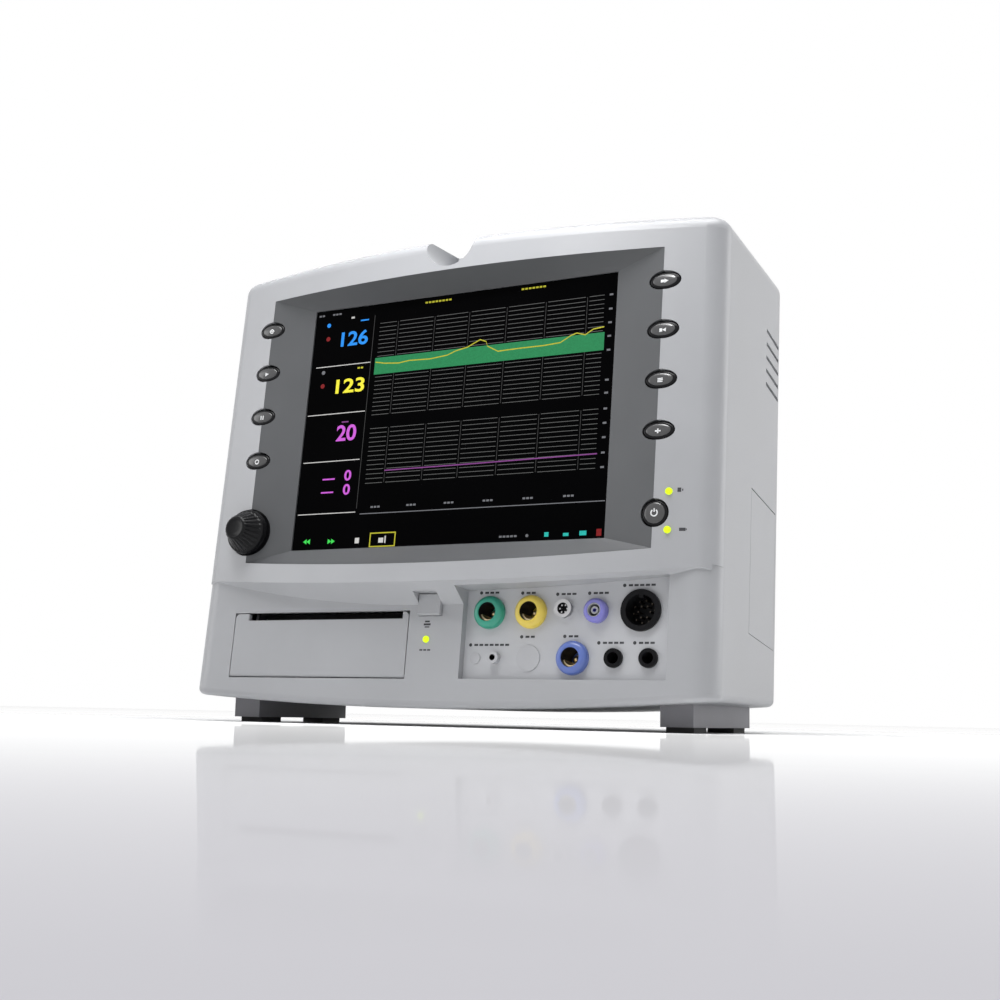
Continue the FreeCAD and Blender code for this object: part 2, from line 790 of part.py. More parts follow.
def funnel():
    """The four slanted faces from the screen's opening out to the surround's edge on the bulged front."""
    wing, ahead = worth(WING), worth(f"{CREST} - cut_overrun")
    half, reach = worth("screen_width/2"), worth("surround_width/2")
    top, low = worth("screen_mid + screen_height/2"), worth("screen_mid - screen_height/2")
    edge_top, edge_low = worth(SURROUND_TALL[1]), worth(SURROUND_TALL[0])

    def carried(start, end):
        return start + (end - start) * (1 + CARRY_ON_SHARE)

    def corner(sign, inner, outer):
        return carried(Vector(sign * half, wing, inner), Vector(sign * reach, worth(front_at(reach)), outer))

    def ring(points, bends):
        """A closed wire through the corners, with an arc where a middle point is given."""
        sides = []
        for number, (begin, bend) in enumerate(zip(points, bends)):
            end = points[(number + 1) % len(points)]
            sides.append(Part.Arc(begin, bend, end).toShape() if bend else Part.makeLine(begin, end))
        return Part.Wire(sides)

    inner = [Vector(-half, wing, low), Vector(half, wing, low),
             Vector(half, wing, top), Vector(-half, wing, top)]
    outer = [corner(-1, low, edge_low), corner(1, low, edge_low),
             corner(1, top, edge_top), corner(-1, top, edge_top)]
    crest = worth(CREST)
    low_bend = carried(Vector(0, wing, low), Vector(0, crest, edge_low - size("surround_sag")))
    top_bend = carried(Vector(0, wing, top), Vector(0, crest, edge_top))
    front = [Vector(point.x, ahead, point.z) for point in outer]
    straight = [None] * len(inner)
    block = doc.addObject("Part::Feature", "Funnel")
    block.Shape = Part.makeLoft([ring(inner, straight), ring(outer, [low_bend, None, top_bend, None]),
                                 ring(front, straight)], True, True)
    return block


def screen_surround():
    outer = surround_block("0", (f"{CREST} - cut_overrun", LCD_FRONT))
    drum = doc.addObject("Part::Cylinder", "FrontDrum")
    bind(drum, Radius="front_radius", Height=f"2*({ALL})")
    at(drum, "0", f"{CREST} + front_radius", f"-({ALL})")
    window = box(both("screen_width/2"), THROUGH, around("screen_mid", "screen_height"))
    rebate = box(both("screen_width/2 + glass_lap + seat_gap"),
                 ("screen_plane", "screen_plane + cut_overrun"),
                 around("screen_mid", "screen_height + 2*(glass_lap + seat_gap)"))
    return cut(common(outer, drum), funnel(), window, rebate, *key_holes())


def plate(half_width, height, y):
    return box(both(half_width), y, around("screen_mid", height))


def display_window():
    return plate("screen_width/2 + glass_lap", "screen_height + 2*glass_lap",
                 ("screen_plane", GLASS_BACK))


def display_gasket():
    depth = (GLASS_BACK, LCD_FRONT)
    ring = plate("screen_width/2 + glass_lap", "screen_height + 2*glass_lap", depth)
    return cut(ring,
               plate("screen_width/2 + gasket_inset", "screen_height + 2*gasket_inset",
                     grown(depth, "cut_overrun")))


def lcd_panel():
    return plate("screen_width/2 + lcd_side_border", "screen_height + 2*lcd_edge_border",
                 (LCD_FRONT, LCD_BACK))


def lcd_bracket():
    depth = (LCD_BACK, BOARD_FRONT)
    solids = [plate("bracket_half", "2*bracket_above", depth)]
    solids += [box(both("arm_reach"), depth, around(z, "arm_height")) for z in ARM_HEIGHTS]
    middle = plate("bracket_window_half", "bracket_above", grown(depth, "cut_overrun"))
    return cut(fuse(*solids), middle)


# Keys, buttons and lamps

FLANGE_FRONT = "(screen_plane + key_flange_set)"
FLANGE_BACK = f"({FLANGE_FRONT} + key_flange_thick)"
SWITCH_TOP = f"({FLANGE_BACK} + key_travel + switch_gap)"
KEY_FRONT = "(screen_plane - key_proud)"


def key(sign, height):
    x = f"{sign}key_side"
    cap = oval_y(x, height, "key_length", "key_height", (KEY_FRONT, FLANGE_FRONT))
    wide = oval_y(x, height, "key_length + 2*key_flange", "key_height + 2*key_flange",
                  (FLANGE_FRONT, FLANGE_BACK))
    return rounded(fuse(cap, wide), "key_round", facing(KEY_FRONT))


def power_button():
    cap = rod_y("key_side", CONTROL, "power_diameter", (KEY_FRONT, FLANGE_FRONT))
    wide = rod_y("key_side", CONTROL, "power_diameter + 2*key_flange", (FLANGE_FRONT, FLANGE_BACK))
    return rounded(fuse(cap, wide), "key_round", facing(KEY_FRONT))


def key_board(sign):
    low = "power_board_below" if sign == "" else "board_below"
    inner, outer = "key_side - board_inner", "key_side + board_outer"
    wide = (inner, outer) if sign == "" else (f"-({outer})", f"-({inner})")
    tall = (f"screen_mid - {low}", "screen_mid + board_above")
    solids = [box(wide, (BOARD_FRONT, f"{BOARD_FRONT} + board_thick"), tall)]
    heights = KEY_HEIGHTS + ([CONTROL] if sign == "" else [])
    for z in heights:
        solids.append(box(around(f"{sign}key_side", "switch_width"), (SWITCH_TOP, BOARD_FRONT),
                          around(z, "switch_width")))
    return fuse(*solids)


def status_lamps():
    """Mains and battery lamps beside the power button, and the printer's lamp."""
    front = f"{front_at('lamp_side')} - lamp_proud"
    solids = [rod_y("lamp_side", z, "lamp_diameter", (front, BOARD_FRONT)) for z in LAMP_HEIGHTS]
    printing = rod_y("printer_lamp_side", "printer_lamp_height", "lamp_diameter",
                     (f"{PANEL} - lamp_proud", PRINT_BOARD))
    return solids + [printing]


# Knob and encoder

COLLAR_FRONT = "(screen_plane - collar_proud)"
COLLAR_BACK = "(screen_plane + collar_depth)"
KNOB_BACK = f"({COLLAR_FRONT} - knob_gap)"
SKIRT_FRONT = f"({KNOB_BACK} - knob_skirt_thick)"
KNOB_FRONT = f"({SKIRT_FRONT} - knob_grip_length)"
ENCODER_BACK = f"({COLLAR_BACK} + encoder_depth)"
SHAFT_END = f"({ENCODER_BACK} - encoder_wall - knob_travel - plunger_thick - slide_gap)"


def knob():
    """A low skirt with a grip that narrows to its face."""
    skirt = rod_y("-key_side", CONTROL, "knob_skirt_diameter", (SKIRT_FRONT, KNOB_BACK))
    grip = cone_y("-key_side", CONTROL, "knob_grip_face", "knob_grip_base", (KNOB_FRONT, SKIRT_FRONT))
    smooth = rounded(fuse(skirt, grip), "knob_round", facing(KNOB_FRONT))
    return cut(smooth,
               rod_y("-key_side", CONTROL, "encoder_shaft_diameter",
                     (f"{SKIRT_FRONT} - knob_grip_length/2", KNOB_BACK)))


def encoder_shaft():
    return rod_y("-key_side", CONTROL, "encoder_shaft_diameter",
                 (f"{SKIRT_FRONT} - knob_grip_length/2", SHAFT_END))


def knob_collar():
    ring = rod_y("-key_side", CONTROL, "collar_diameter", (COLLAR_FRONT, COLLAR_BACK))
    return cut(ring,
               rod_y("-key_side", CONTROL, "encoder_shaft_diameter + 2*shaft_gap",
                     (COLLAR_FRONT, COLLAR_BACK)))


def encoder_body():
    block = box(around("-key_side", "encoder_width"), (COLLAR_BACK, ENCODER_BACK),
                around(CONTROL, "encoder_width"))
    bore = rod_y("-key_side", CONTROL, "encoder_shaft_diameter + 2*shaft_gap",
                 (COLLAR_BACK, f"{ENCODER_BACK} - encoder_wall"))
    return cut(block, bore)


def encoder_plunger():
    return rod_y("-key_side", CONTROL, "encoder_shaft_diameter",
                 (SHAFT_END, f"{SHAFT_END} + plunger_thick"))


# Printer

FRAME_WIDE = around("printer_mid", "paper_width + 2*(paper_side_gap + frame_sheet)")
BAY_WIDE = around("printer_mid", "paper_width + 2*paper_side_gap")
FRAME_DEEP = ("frame_front", "frame_front + frame_depth")
GEAR_FRONT = f"({FRAME_WIDE[1]} + gear_gap)"
GEAR_BACK = f"({GEAR_FRONT} + gear_thick)"
MOTOR_PLATE = f"({GEAR_BACK} + gear_gap)"
GEAR_APART = "(gear_module*(platen_teeth + pinion_teeth)/2)"
MOTOR_DEPTH = f"(platen_depth + {GEAR_APART}*cos(motor_angle))"
MOTOR_HEIGHT = f"(platen_height + {GEAR_APART}*sin(motor_angle))"


def printer_door():
    leaf = box(DOOR_WIDE, (PANEL, PANEL_BACK), (HINGE_HEIGHT, "door_high"))
    corner = rounded(leaf, "door_corner",
                     lambda edge: edge.BoundBox.ZMin > worth("door_high") - size("wall") / 2
                     and edge.BoundBox.XLength < size("wall") / 2)
    hinge = rod_x(HINGE_DEPTH, HINGE_HEIGHT, "wall", DOOR_WIDE)
    nubs = rod_x(HINGE_DEPTH, HINGE_HEIGHT, "door_nub", grown(DOOR_WIDE, "door_nub_length"))
    slot = box(around("printer_mid", "paper_width"), THROUGH,
               ("door_high - slot_height", "door_high + cut_overrun"))
    return cut(fuse(corner, hinge, nubs), slot)


def printer_frame():
    solids = [box(FRAME_WIDE, FRAME_DEEP, ("frame_floor", "frame_floor + frame_sheet"))]
    for x in ((FRAME_WIDE[0], BAY_WIDE[0]), (BAY_WIDE[1], FRAME_WIDE[1])):
        solids.append(box(x, FRAME_DEEP, ("frame_floor", "frame_top")))
    solids.append(box(FRAME_WIDE, (f"{FRAME_DEEP[1]} - frame_sheet", FRAME_DEEP[1]),
                      ("frame_floor", "frame_top")))
    bearing = rod_x("platen_depth", "platen_height", "platen_shaft_diameter + 2*shaft_gap",
                    grown(FRAME_WIDE, "cut_overrun"))
    return cut(fuse(*solids), bearing)


def platen_roller():
    tube = rod_x("platen_depth", "platen_height", "platen_diameter", around("printer_mid", "paper_width"))
    return cut(tube,
               rod_x("platen_depth", "platen_height", "platen_shaft_diameter",
                     around("printer_mid", "paper_width")))


def platen_shaft():
    return rod_x("platen_depth", "platen_height", "platen_shaft_diameter",
                 (f"{FRAME_WIDE[0]} - gear_gap", GEAR_BACK))


def print_head():
    low = "platen_height + platen_diameter/2 + head_gap"
    return box(BAY_WIDE, around("platen_depth", "head_depth"), (low, f"{low} + head_thick"))


def gear(teeth, bore, depth, height, pointing):
    """A spur gear in the upright plane from front to back, with a tooth that points the given way."""
    module = size("gear_module")
    pitch = module * teeth / 2
    base = pitch * math.cos(math.radians(20))
    tip = pitch + module * 0.8
    root = pitch - module
    half = math.pi / (2 * teeth) - size("gear_backlash") / (2 * pitch)

    def roll(radius):
        angle = math.acos(min(1, base / radius))
        return math.tan(angle) - angle

    def spot(radius, turn):
        return Vector(worth(GEAR_FRONT), depth + radius * math.cos(turn),
                      height + radius * math.sin(turn))

    points = []
    rungs = [max(base, root) + (tip - max(base, root)) * share for share in (0, 0.35, 0.7, 1)]
    for tooth in range(teeth):
        middle = pointing + tooth * 2 * math.pi / teeth
        flank = [(radius, half + roll(pitch) - roll(radius)) for radius in rungs]
        flank.insert(0, (root, flank[0][1]))
        points += [spot(radius, middle - lean) for radius, lean in flank]
        points += [spot(radius, middle + lean) for radius, lean in reversed(flank)]
    blank = Part.Face(Part.makePolygon(points + points[:1])).extrude(Vector(size("gear_thick"), 0, 0))
    hole = Part.makeCylinder(bore / 2, size("gear_thick"), spot(0, 0), X_AXIS)
    solid = doc.addObject("Part::Feature", "Gear")
    solid.Shape = blank.cut(hole)
    return solid


def platen_gear():
    return gear(int(size("platen_teeth")), size("platen_shaft_diameter"), size("platen_depth"),
                size("platen_height"),
                math.radians(size("motor_angle")))


def pinion_teeth():
    half_tooth = math.pi / size("pinion_teeth")
    return gear(int(size("pinion_teeth")), size("motor_shaft_diameter"), worth(MOTOR_DEPTH),
                worth(MOTOR_HEIGHT),
                math.radians(size("motor_angle")) + math.pi + half_tooth)


def motor_shaft():
    return rod_x(MOTOR_DEPTH, MOTOR_HEIGHT, "motor_shaft_diameter",
                 (GEAR_FRONT, f"{MOTOR_PLATE} + motor_length/2"))


def motor_bracket():
    deep = grown(around(MOTOR_DEPTH, "motor_diameter"), "bracket_margin")
    tall = grown(around(MOTOR_HEIGHT, "motor_diameter"), "0")
    solids = [box((MOTOR_PLATE, f"{MOTOR_PLATE} + frame_sheet"), deep, tall)]
    for z in tall:
        inward = f"{z} + bracket_post_diameter/2" if z == tall[0] else f"{z} - bracket_post_diameter/2"
        solids.append(rod_x(f"{deep[1]} - bracket_post_diameter/2", inward, "bracket_post_diameter",
                            (FRAME_WIDE[1], MOTOR_PLATE)))
    hole = rod_x(MOTOR_DEPTH, MOTOR_HEIGHT, "motor_shaft_diameter + 2*shaft_gap",
                 (GEAR_FRONT, f"{MOTOR_PLATE} + motor_length"))
    return cut(fuse(*solids), hole)


def drive_motor():
    front = f"{MOTOR_PLATE} + frame_sheet"
    can = rod_x(MOTOR_DEPTH, MOTOR_HEIGHT, "motor_diameter", (front, f"{front} + motor_length"))
    bore = rod_x(MOTOR_DEPTH, MOTOR_HEIGHT, "motor_shaft_diameter + 2*shaft_gap",
                 (front, f"{MOTOR_PLATE} + motor_length/2 + slide_gap"))
    return cut(can, bore)


PRINT_FLANGE = f"({PANEL_BACK} + slide_gap)"
PRINT_BOARD = f"({PANEL_BACK} + print_switch_depth)"


def print_button():
    cap = box(around("print_button_side", "print_button_width"),
              (f"{PANEL} - print_button_proud", PRINT_FLANGE),
              around("print_button_height", "print_button_tall"))
    soft = rounded(cap, "key_round/2", facing(f"{PANEL} - print_button_proud"))
    wide = box(around("print_button_side", "print_button_width + 2*key_flange"),
               (PRINT_FLANGE, f"{PRINT_FLANGE} + key_flange_thick"),
               around("print_button_height", "print_button_tall + 2*key_flange"))
    return fuse(soft, wide)


def print_key_board():
    wide = around("print_button_side", "print_button_width + 4*rest_rib")
    sheet_solid = box(wide, (PRINT_BOARD, f"{PRINT_BOARD} + board_thick"),
                      ("printer_lamp_height - lamp_diameter", "print_button_height + rest_rib"))
    top = f"{PRINT_FLANGE} + key_flange_thick + key_travel + switch_gap"
    switch = box(around("print_button_side", "switch_width"), (top, PRINT_BOARD),
                 around("print_button_height", "switch_width"))
    return fuse(sheet_solid, switch)


# Connector panel

RINGS = {"green": ("green_side", "upper_row"), "yellow": ("yellow_side", "upper_row"),
         "blue": ("blue_side", "lower_row")}
JACKS = ("left_jack_side", "right_jack_side")
BLANKS = {"small_blank_side": "small_blank_diameter", "large_blank_side": "large_blank_diameter"}


def socket(x, z, flange, proud, barrel, length, bore, bore_depth, soft=None):
    """A round socket: a flange on the panel's face, a barrel through it and a blind bore from the front."""
    front = f"{RECESS_FLOOR} - {proud}"
    ring = rod_y(x, z, flange, (front, RECESS_FLOOR))
    if soft:
        ring = rounded(ring, soft, facing(front))
    body = fuse(ring, rod_y(x, z, barrel, (RECESS_FLOOR, f"{RECESS_FLOOR} + {length}")))
    return cut(body, rod_y(x, z, bore, (front, f"{front} + {bore_depth}")))


def connector_panel():
    sheet_solid = box(grown(RECESS_WIDE, "panel_lap"), (RECESS_FLOOR, PANEL_REAR),
                      grown(RECESS_TALL, "panel_lap"))
    through = grown((RECESS_FLOOR, PANEL_REAR), "panel_thick")
    tools = [rod_y(x, z, "barrel_diameter", through) for x, z in RINGS.values()]
    tools.append(rod_y("multi_pin_side", "multi_pin_height", "multi_pin_diameter - 2*multi_pin_wall",
                       through))
    tools.append(rod_y("hose_side", "upper_row", "hose_barrel", through))
    tools.append(rod_y("large_side", "upper_row", "large_barrel", through))
    tools += [rod_y(x, "lower_row", "jack_barrel", through) for x in JACKS]
    tools.append(rod_y("probe_side", "lower_row", "probe_diameter - 2*multi_pin_wall", through))
    tools += [rod_y(x, "lower_row", f"{wide} - 2*blank_rim", through) for x, wide in BLANKS.items()]
    return cut(sheet_solid, *tools)


BARREL_END = f"({RECESS_FLOOR} + barrel_length)"


def ring_socket(x, z):
    """A coloured ring socket whose bore ends on the face of its contact."""
    ring = socket(x, z, "ring_diameter", "ring_proud", "barrel_diameter", "barrel_length",
                  "ring_bore", "ring_proud + barrel_length - contact_length", "ring_round")
    return cut(ring, rod_y(x, z, "contact_diameter", (f"{BARREL_END} - contact_length", BARREL_END)))


def socket_contacts():
    """The round contacts that close the bores of the coloured sockets."""
    return [rod_y(x, z, "contact_diameter", (f"{BARREL_END} - contact_length", BARREL_END)) for x,
            z in RINGS.values()]


def multi_pin_socket():
    x, z = "multi_pin_side", "multi_pin_height"
    shell = socket(x, z, "multi_pin_diameter", "multi_pin_proud", "multi_pin_diameter - 2*multi_pin_wall",
                   "barrel_length", "multi_pin_diameter - 4*multi_pin_wall",
                   "multi_pin_proud + panel_thick")
    pins = []
    for number in range(6):
        turn = f"{number}*60"
        pins.append(rod_y(f"{x} + multi_pin_circle/2*cos({turn})",
                          f"{z} + multi_pin_circle/2*sin({turn})", "multi_pin_pin",
                          (f"{RECESS_FLOOR} - multi_pin_proud/2", f"{RECESS_FLOOR} + barrel_length/2")))
    return fuse(shell, *pins)


def hose_port():
    """A soft ring with a wide mouth and the nipple for the hose inside it."""
    x, z = "hose_side", "upper_row"
    ring = socket(x, z, "hose_base_diameter", "hose_base_proud", "hose_barrel", "barrel_length", "hose_mouth",
                  "hose_base_proud + barrel_length - wall", "hose_round")
    deep = (f"{RECESS_FLOOR} - hose_nipple_proud", f"{RECESS_FLOOR} + barrel_length")
    return cut(fuse(ring, rod_y(x, z, "hose_nipple", deep)), rod_y(x, z, "hose_bore", deep))


def large_socket():
    return socket("large_side", "upper_row", "large_diameter", "large_proud", "large_barrel",
                  "barrel_length",
                  "large_bore", "large_depth")


def jack_socket(x):
    return socket(x, "lower_row", "jack_diameter", "jack_proud", "jack_barrel", "jack_length",
                  "jack_bore", "jack_length")


def probe_jack():
    return socket("probe_side", "lower_row", "probe_diameter", "probe_proud",
                  "probe_diameter - 2*multi_pin_wall", "probe_length",
                  "probe_bore", "probe_length")


def blanking_plugs():
    solids = []
    for x, wide in BLANKS.items():
        cap = rod_y(x, "lower_row", wide, (f"{RECESS_FLOOR} - blank_proud", RECESS_FLOOR))
        solids.append(fuse(cap,
                           rod_y(x, "lower_row", f"{wide} - 2*blank_rim", (RECESS_FLOOR, PANEL_REAR))))
    return solids


# Chassis and boards

def chassis():
    """A sheet carried by the screen's bracket on four posts, with stubs for the main board."""
    solids = [box(both("chassis_half"), ("chassis_set", CHASSIS_BACK), ("chassis_low", "chassis_high"))]
    for sign in SIDES.values():
        for z in ("screen_mid + standoff_above", "screen_mid - standoff_below"):
            solids.append(rod_y(f"{sign}standoff_side", z, "standoff_diameter",
                                (BOARD_FRONT, CHASSIS_BACK)))
    for x in ("-(main_left - main_inset)", "main_right - main_inset"):
        for z in ("main_low + main_inset", "main_high - main_inset"):
            solids.append(rod_y(x, z, "stub_diameter", ("chassis_set", f"{CHASSIS_BACK} + stub_height")))
    return fuse(*solids)


def main_board():
    front = f"({CHASSIS_BACK} + stub_height)"
    back = f"({front} + board_thick)"
    solids = [box(("-main_left", "main_right"), (front, back), ("main_low", "main_high"))]
    middle, height = "(main_right - main_left)/2", "(main_low + main_high)/2"
    for step in (-1, 0, 1):
        solids.append(box(around(f"{middle} + {step}*2*chip_width", "chip_width"),
                          (back, f"{back} + chip_thick"), around(height, "chip_width")))
    return fuse(*solids)


def power_supply():
    deep = (CHASSIS_BACK, f"{CHASSIS_BACK} + supply_depth")
    can = box(("supply_left", "supply_right"), deep, ("supply_low", "supply_high"))
    return rounded(can, "chassis_thick", facing(deep[1]))


def pump():
    deep = (f"{CHASSIS_BACK} + pump_foot", f"{CHASSIS_BACK} + pump_foot + pump_diameter")
    middle = f"{CHASSIS_BACK} + pump_foot + pump_diameter/2"
    can = rod_x(middle, "pump_height", "pump_diameter", around("pump_side", "pump_length"))
    foot = box(around("pump_side", "pump_length"), (CHASSIS_BACK, middle),
               around("pump_height", "pump_diameter/2"))
    return fuse(can, foot)


# Rear fittings

def speaker():
    rim = rod_y("speaker_side", "speaker_height", "speaker_diameter",
                (f"{REAR_INSIDE} - wall", REAR_INSIDE))
    cone = cone_y("speaker_side", "speaker_height", "speaker_magnet", "speaker_diameter - 2*wall",
                  (f"{REAR_INSIDE} - speaker_depth + wall", f"{REAR_INSIDE} - wall"))
    magnet = rod_y("speaker_side", "speaker_height", "speaker_magnet",
                   (f"{REAR_INSIDE} - speaker_depth", f"{REAR_INSIDE} - speaker_depth + wall"))
    return fuse(rim, cone, magnet)


def mains_inlet():
    x, z = "inlet_side", "inlet_height"
    face = ("rear_plane", "rear_plane + inlet_proud")
    flange = box(around(x, "inlet_width"), face, around(z, "inlet_tall"))
    body = box(around(x, "inlet_mouth_width + 2*wall"), ("rear_plane - inlet_depth", face[1]),
               around(z, "inlet_mouth_tall + 2*wall"))
    mouth = box(around(x, "inlet_mouth_width"),
                ("rear_plane - inlet_depth + inlet_floor", f"{face[1]} + cut_overrun"),
                around(z, "inlet_mouth_tall"))
    pins = []
    for step, drop in ((-1, "0"), (0, "wall"), (1, "0")):
        pins.append(box(around(f"{x} + {step}*inlet_pin_spread", "inlet_pin_thick"),
                        ("rear_plane - inlet_depth",
                         "rear_plane - inlet_depth + inlet_floor + inlet_pin_length"),
                        around(f"{z} + wall/2 - {drop}", "inlet_pin_wide")))
    return fuse(cut(fuse(flange, body), mouth), *pins)


def earth_stud():
    x, z = "stud_side", "stud_height"
    base = rod_y(x, z, "stud_base_diameter", ("rear_plane", "rear_plane + stud_base_thick"))
    return fuse(base,
                rod_y(x, z, "stud_diameter",
                      (f"{REAR_INSIDE} - wall", "rear_plane + stud_base_thick + stud_length")))


# Battery

COVER_MIDDLE = "((cover_front + cover_back)/2)"


def side_at(y, z):
    """How far out the case's side lies at a depth and height of the leaning frame."""
    level_depth = f"(({y})*cos(tilt) + ({z})*sin(tilt))"
    return f"(half_width - {SIDE_SLOPE}*(front_reach + {level_depth}))"


COVER_HINGE = "(cover_high - cover_gap - cover_hinge_below)"


def hinge_bar(diameter, reach):
    """A bar along the cover's upper edge, in the middle of the wall and following the case's taper."""
    bar = doc.addObject("Part::Cylinder", "HingeBar")
    run = f"(cover_back - cover_front - 2*cover_seat_gap + 2*({reach}))"
    lean = f"atan({SIDE_SLOPE}*cos(tilt))"
    bar.Placement = Placement(Vector(), Rotation(X_AXIS, -90))
    start = f"{COVER_MIDDLE} - {run}/2*cos({lean})"
    bind(bar, Radius=f"({diameter})/2", Height=run)
    turn = Rotation(Vector(0, 0, 1), worth(lean)).multiply(Rotation(X_AXIS, -90))
    bar.Placement = Placement(Vector(), turn)
    return at(bar, f"{side_at(start, COVER_HINGE)} - wall/2", start, COVER_HINGE)


def battery_cover():
    region = box(("0", ALL), grown(COVER_DEEP, "-cover_seat_gap"),
                 ("cover_low + cover_seat_gap", "cover_high - cover_gap"))
    return fuse(common(SHELL, region), hinge_bar("cover_nub", "cover_nub_length"))


HOLDER_FLOOR = f"({side_at(COVER_MIDDLE, 'cover_low')} - holder_depth)"


def battery_holder():
    """A sleeve behind the cover's opening that seats on the inside of the case's sloping wall."""
    wide = (HOLDER_FLOOR, side_at("cover_front", "cover_low"))
    outer = box(wide, grown(COVER_DEEP, "holder_wall"), grown(COVER_TALL, "holder_wall"))
    hollow = box((f"{HOLDER_FLOOR} + holder_wall", ALL), COVER_DEEP, COVER_TALL)
    return cut(common(outer, INSIDE), hollow)


def battery_pack():
    end = f"{side_at('cover_back', 'cover_high')} - wall - battery_front_gap"
    return box((f"{HOLDER_FLOOR} + holder_wall", end), grown(COVER_DEEP, "-battery_gap"),
               (COVER_TALL[0], f"{COVER_TALL[1]} - battery_gap"))


# Screws and feet

def housing_screws():
    solids = []
    for x, z in POSTS:
        seat = "rear_plane - screw_sink"
        shank = rod_y(x, z, "screw_diameter", ("split_plane - screw_bite + slide_gap", seat))
        solids.append(fuse(shank,
                           rod_y(x, z, "screw_head_diameter", (seat, f"{seat} + screw_head_thick"))))
    return solids


def foot_rail(sign):
    wide = ("rail_inner", "rail_inner + rail_width") if sign == "" else ("-(rail_inner + rail_width)",
                                                                         "-rail_inner")
    block = level_box(wide, ("rail_front", "rail_front + rail_length"), ("rail_bottom", "rail_top"))
    return cut(block, OUTSIDE)


def foot_pads():
    solids = []
    for sign in SIDES.values():
        for y in ("rail_front + pad_inset", "rail_front + rail_length - pad_inset - pad_length"):
            wide = around(f"{sign}(rail_inner + rail_width/2)", "pad_width")
            solids.append(level_box(wide, (y, f"{y} + pad_length"), ("0", "rail_bottom")))
    return solids


piece("front_housing", front_housing())
piece("rear_housing", rear_housing())
piece("screen_surround", screen_surround())
piece("display_window", display_window())
piece("display_gasket", display_gasket())
piece("lcd_panel", lcd_panel())
piece("lcd_bracket", lcd_bracket())
for side, sign in SIDES.items():
    for number, height in enumerate(KEY_HEIGHTS, start=1):
        piece(f"{side}_key_{number}", key(sign, height))
    piece(f"{side}_key_board", key_board(sign))
piece("foot_rails", *[foot_rail(sign) for sign in SIDES.values()])
piece("foot_pads", *foot_pads())
piece("power_button", power_button())
piece("status_lamps", *status_lamps())
piece("knob", knob())
piece("encoder_shaft", encoder_shaft())
piece("knob_collar", knob_collar())
piece("encoder_body", encoder_body())
piece("encoder_plunger", encoder_plunger())
piece("printer_door", printer_door())
piece("printer_frame", printer_frame())
piece("platen_roller", platen_roller())
piece("platen_shaft", platen_shaft())
piece("platen_gear", platen_gear())
piece("motor_pinion", fuse(pinion_teeth(), motor_shaft()))
piece("motor_bracket", motor_bracket())
piece("drive_motor", drive_motor())
piece("print_head", print_head())
piece("print_button", print_button())
piece("print_key_board", print_key_board())
piece("connector_panel", connector_panel())
for colour, (x, z) in RINGS.items():
    piece(f"{colour}_socket", ring_socket(x, z))
piece("socket_contacts", *socket_contacts())
piece("multi_pin_socket", multi_pin_socket())
piece("hose_port", hose_port())
piece("large_socket", large_socket())
piece("jack_sockets", *[jack_socket(x) for x in JACKS])
piece("probe_jack", probe_jack())
piece("blanking_plugs", *blanking_plugs())
piece("chassis", chassis())
piece("main_board", main_board())
piece("power_supply", power_supply())
piece("pump", pump())
piece("speaker", speaker())
piece("mains_inlet", mains_inlet())
piece("earth_stud", earth_stud())
piece("battery_cover", battery_cover())
piece("battery_holder", battery_holder())
piece("battery_pack", battery_pack())
piece("housing_screws", *housing_screws())

# The origin lies at the middle of the depth, so the whole is measured once and shifted by that much.
doc.recompute()
boxes = [solid.Shape.BoundBox for solid in PIECES]
middle = (min(each.YMin for each in boxes) + max(each.YMax for each in boxes)) / 2
sheet.set(SHIFT_CELL, str(-middle))
doc.recompute()

for thing in doc.Objects:
    if "Invalid" in thing.State or "Error" in thing.State:
        raise RuntimeError(f"{thing.Label} failed: {thing.State}")
for solid in PIECES:
    if solid.Shape.isNull() or not solid.Shape.isValid() or not solid.Shape.Solids:
        raise RuntimeError(f"{solid.Label} has no valid solid")

os.makedirs("parts", exist_ok=True)
for solid in PIECES:
    solid.Shape.exportStep(f"parts/{solid.Label}.step")
print(len(PIECES), "sub-parts, depth shift", round(-middle, 4))
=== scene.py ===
"""A fetal monitor on a pale studio floor: its finishes, the picture on its screen and its small fittings."""
import math

import bmesh
import bpy
from mathutils import Matrix, Vector


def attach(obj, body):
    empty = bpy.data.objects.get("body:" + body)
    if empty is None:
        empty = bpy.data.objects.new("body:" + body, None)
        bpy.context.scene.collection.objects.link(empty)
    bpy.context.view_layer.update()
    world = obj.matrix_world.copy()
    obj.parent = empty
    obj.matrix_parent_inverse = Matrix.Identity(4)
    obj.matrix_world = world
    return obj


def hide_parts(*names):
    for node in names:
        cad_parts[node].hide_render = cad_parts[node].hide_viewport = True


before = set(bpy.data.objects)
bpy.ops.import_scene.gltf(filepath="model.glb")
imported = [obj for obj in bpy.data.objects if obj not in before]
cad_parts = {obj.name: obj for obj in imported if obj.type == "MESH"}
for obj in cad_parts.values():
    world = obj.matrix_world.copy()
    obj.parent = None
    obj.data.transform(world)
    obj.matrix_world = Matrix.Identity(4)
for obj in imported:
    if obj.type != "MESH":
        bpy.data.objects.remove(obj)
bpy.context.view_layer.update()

# The case leans back, so pieces are drawn in millimetres in its own leaning frame:
# x across, y from front to back, z up along the screen.
MM = 0.001
TILT = math.radians(6)
DEPTH_SHIFT = -63.3123 * MM
LEAN = Matrix(((1, 0, 0, 0),
               (0, math.cos(TILT), math.sin(TILT), DEPTH_SHIFT),
               (0, -math.sin(TILT), math.cos(TILT), 0),
               (0, 0, 0, 1)))

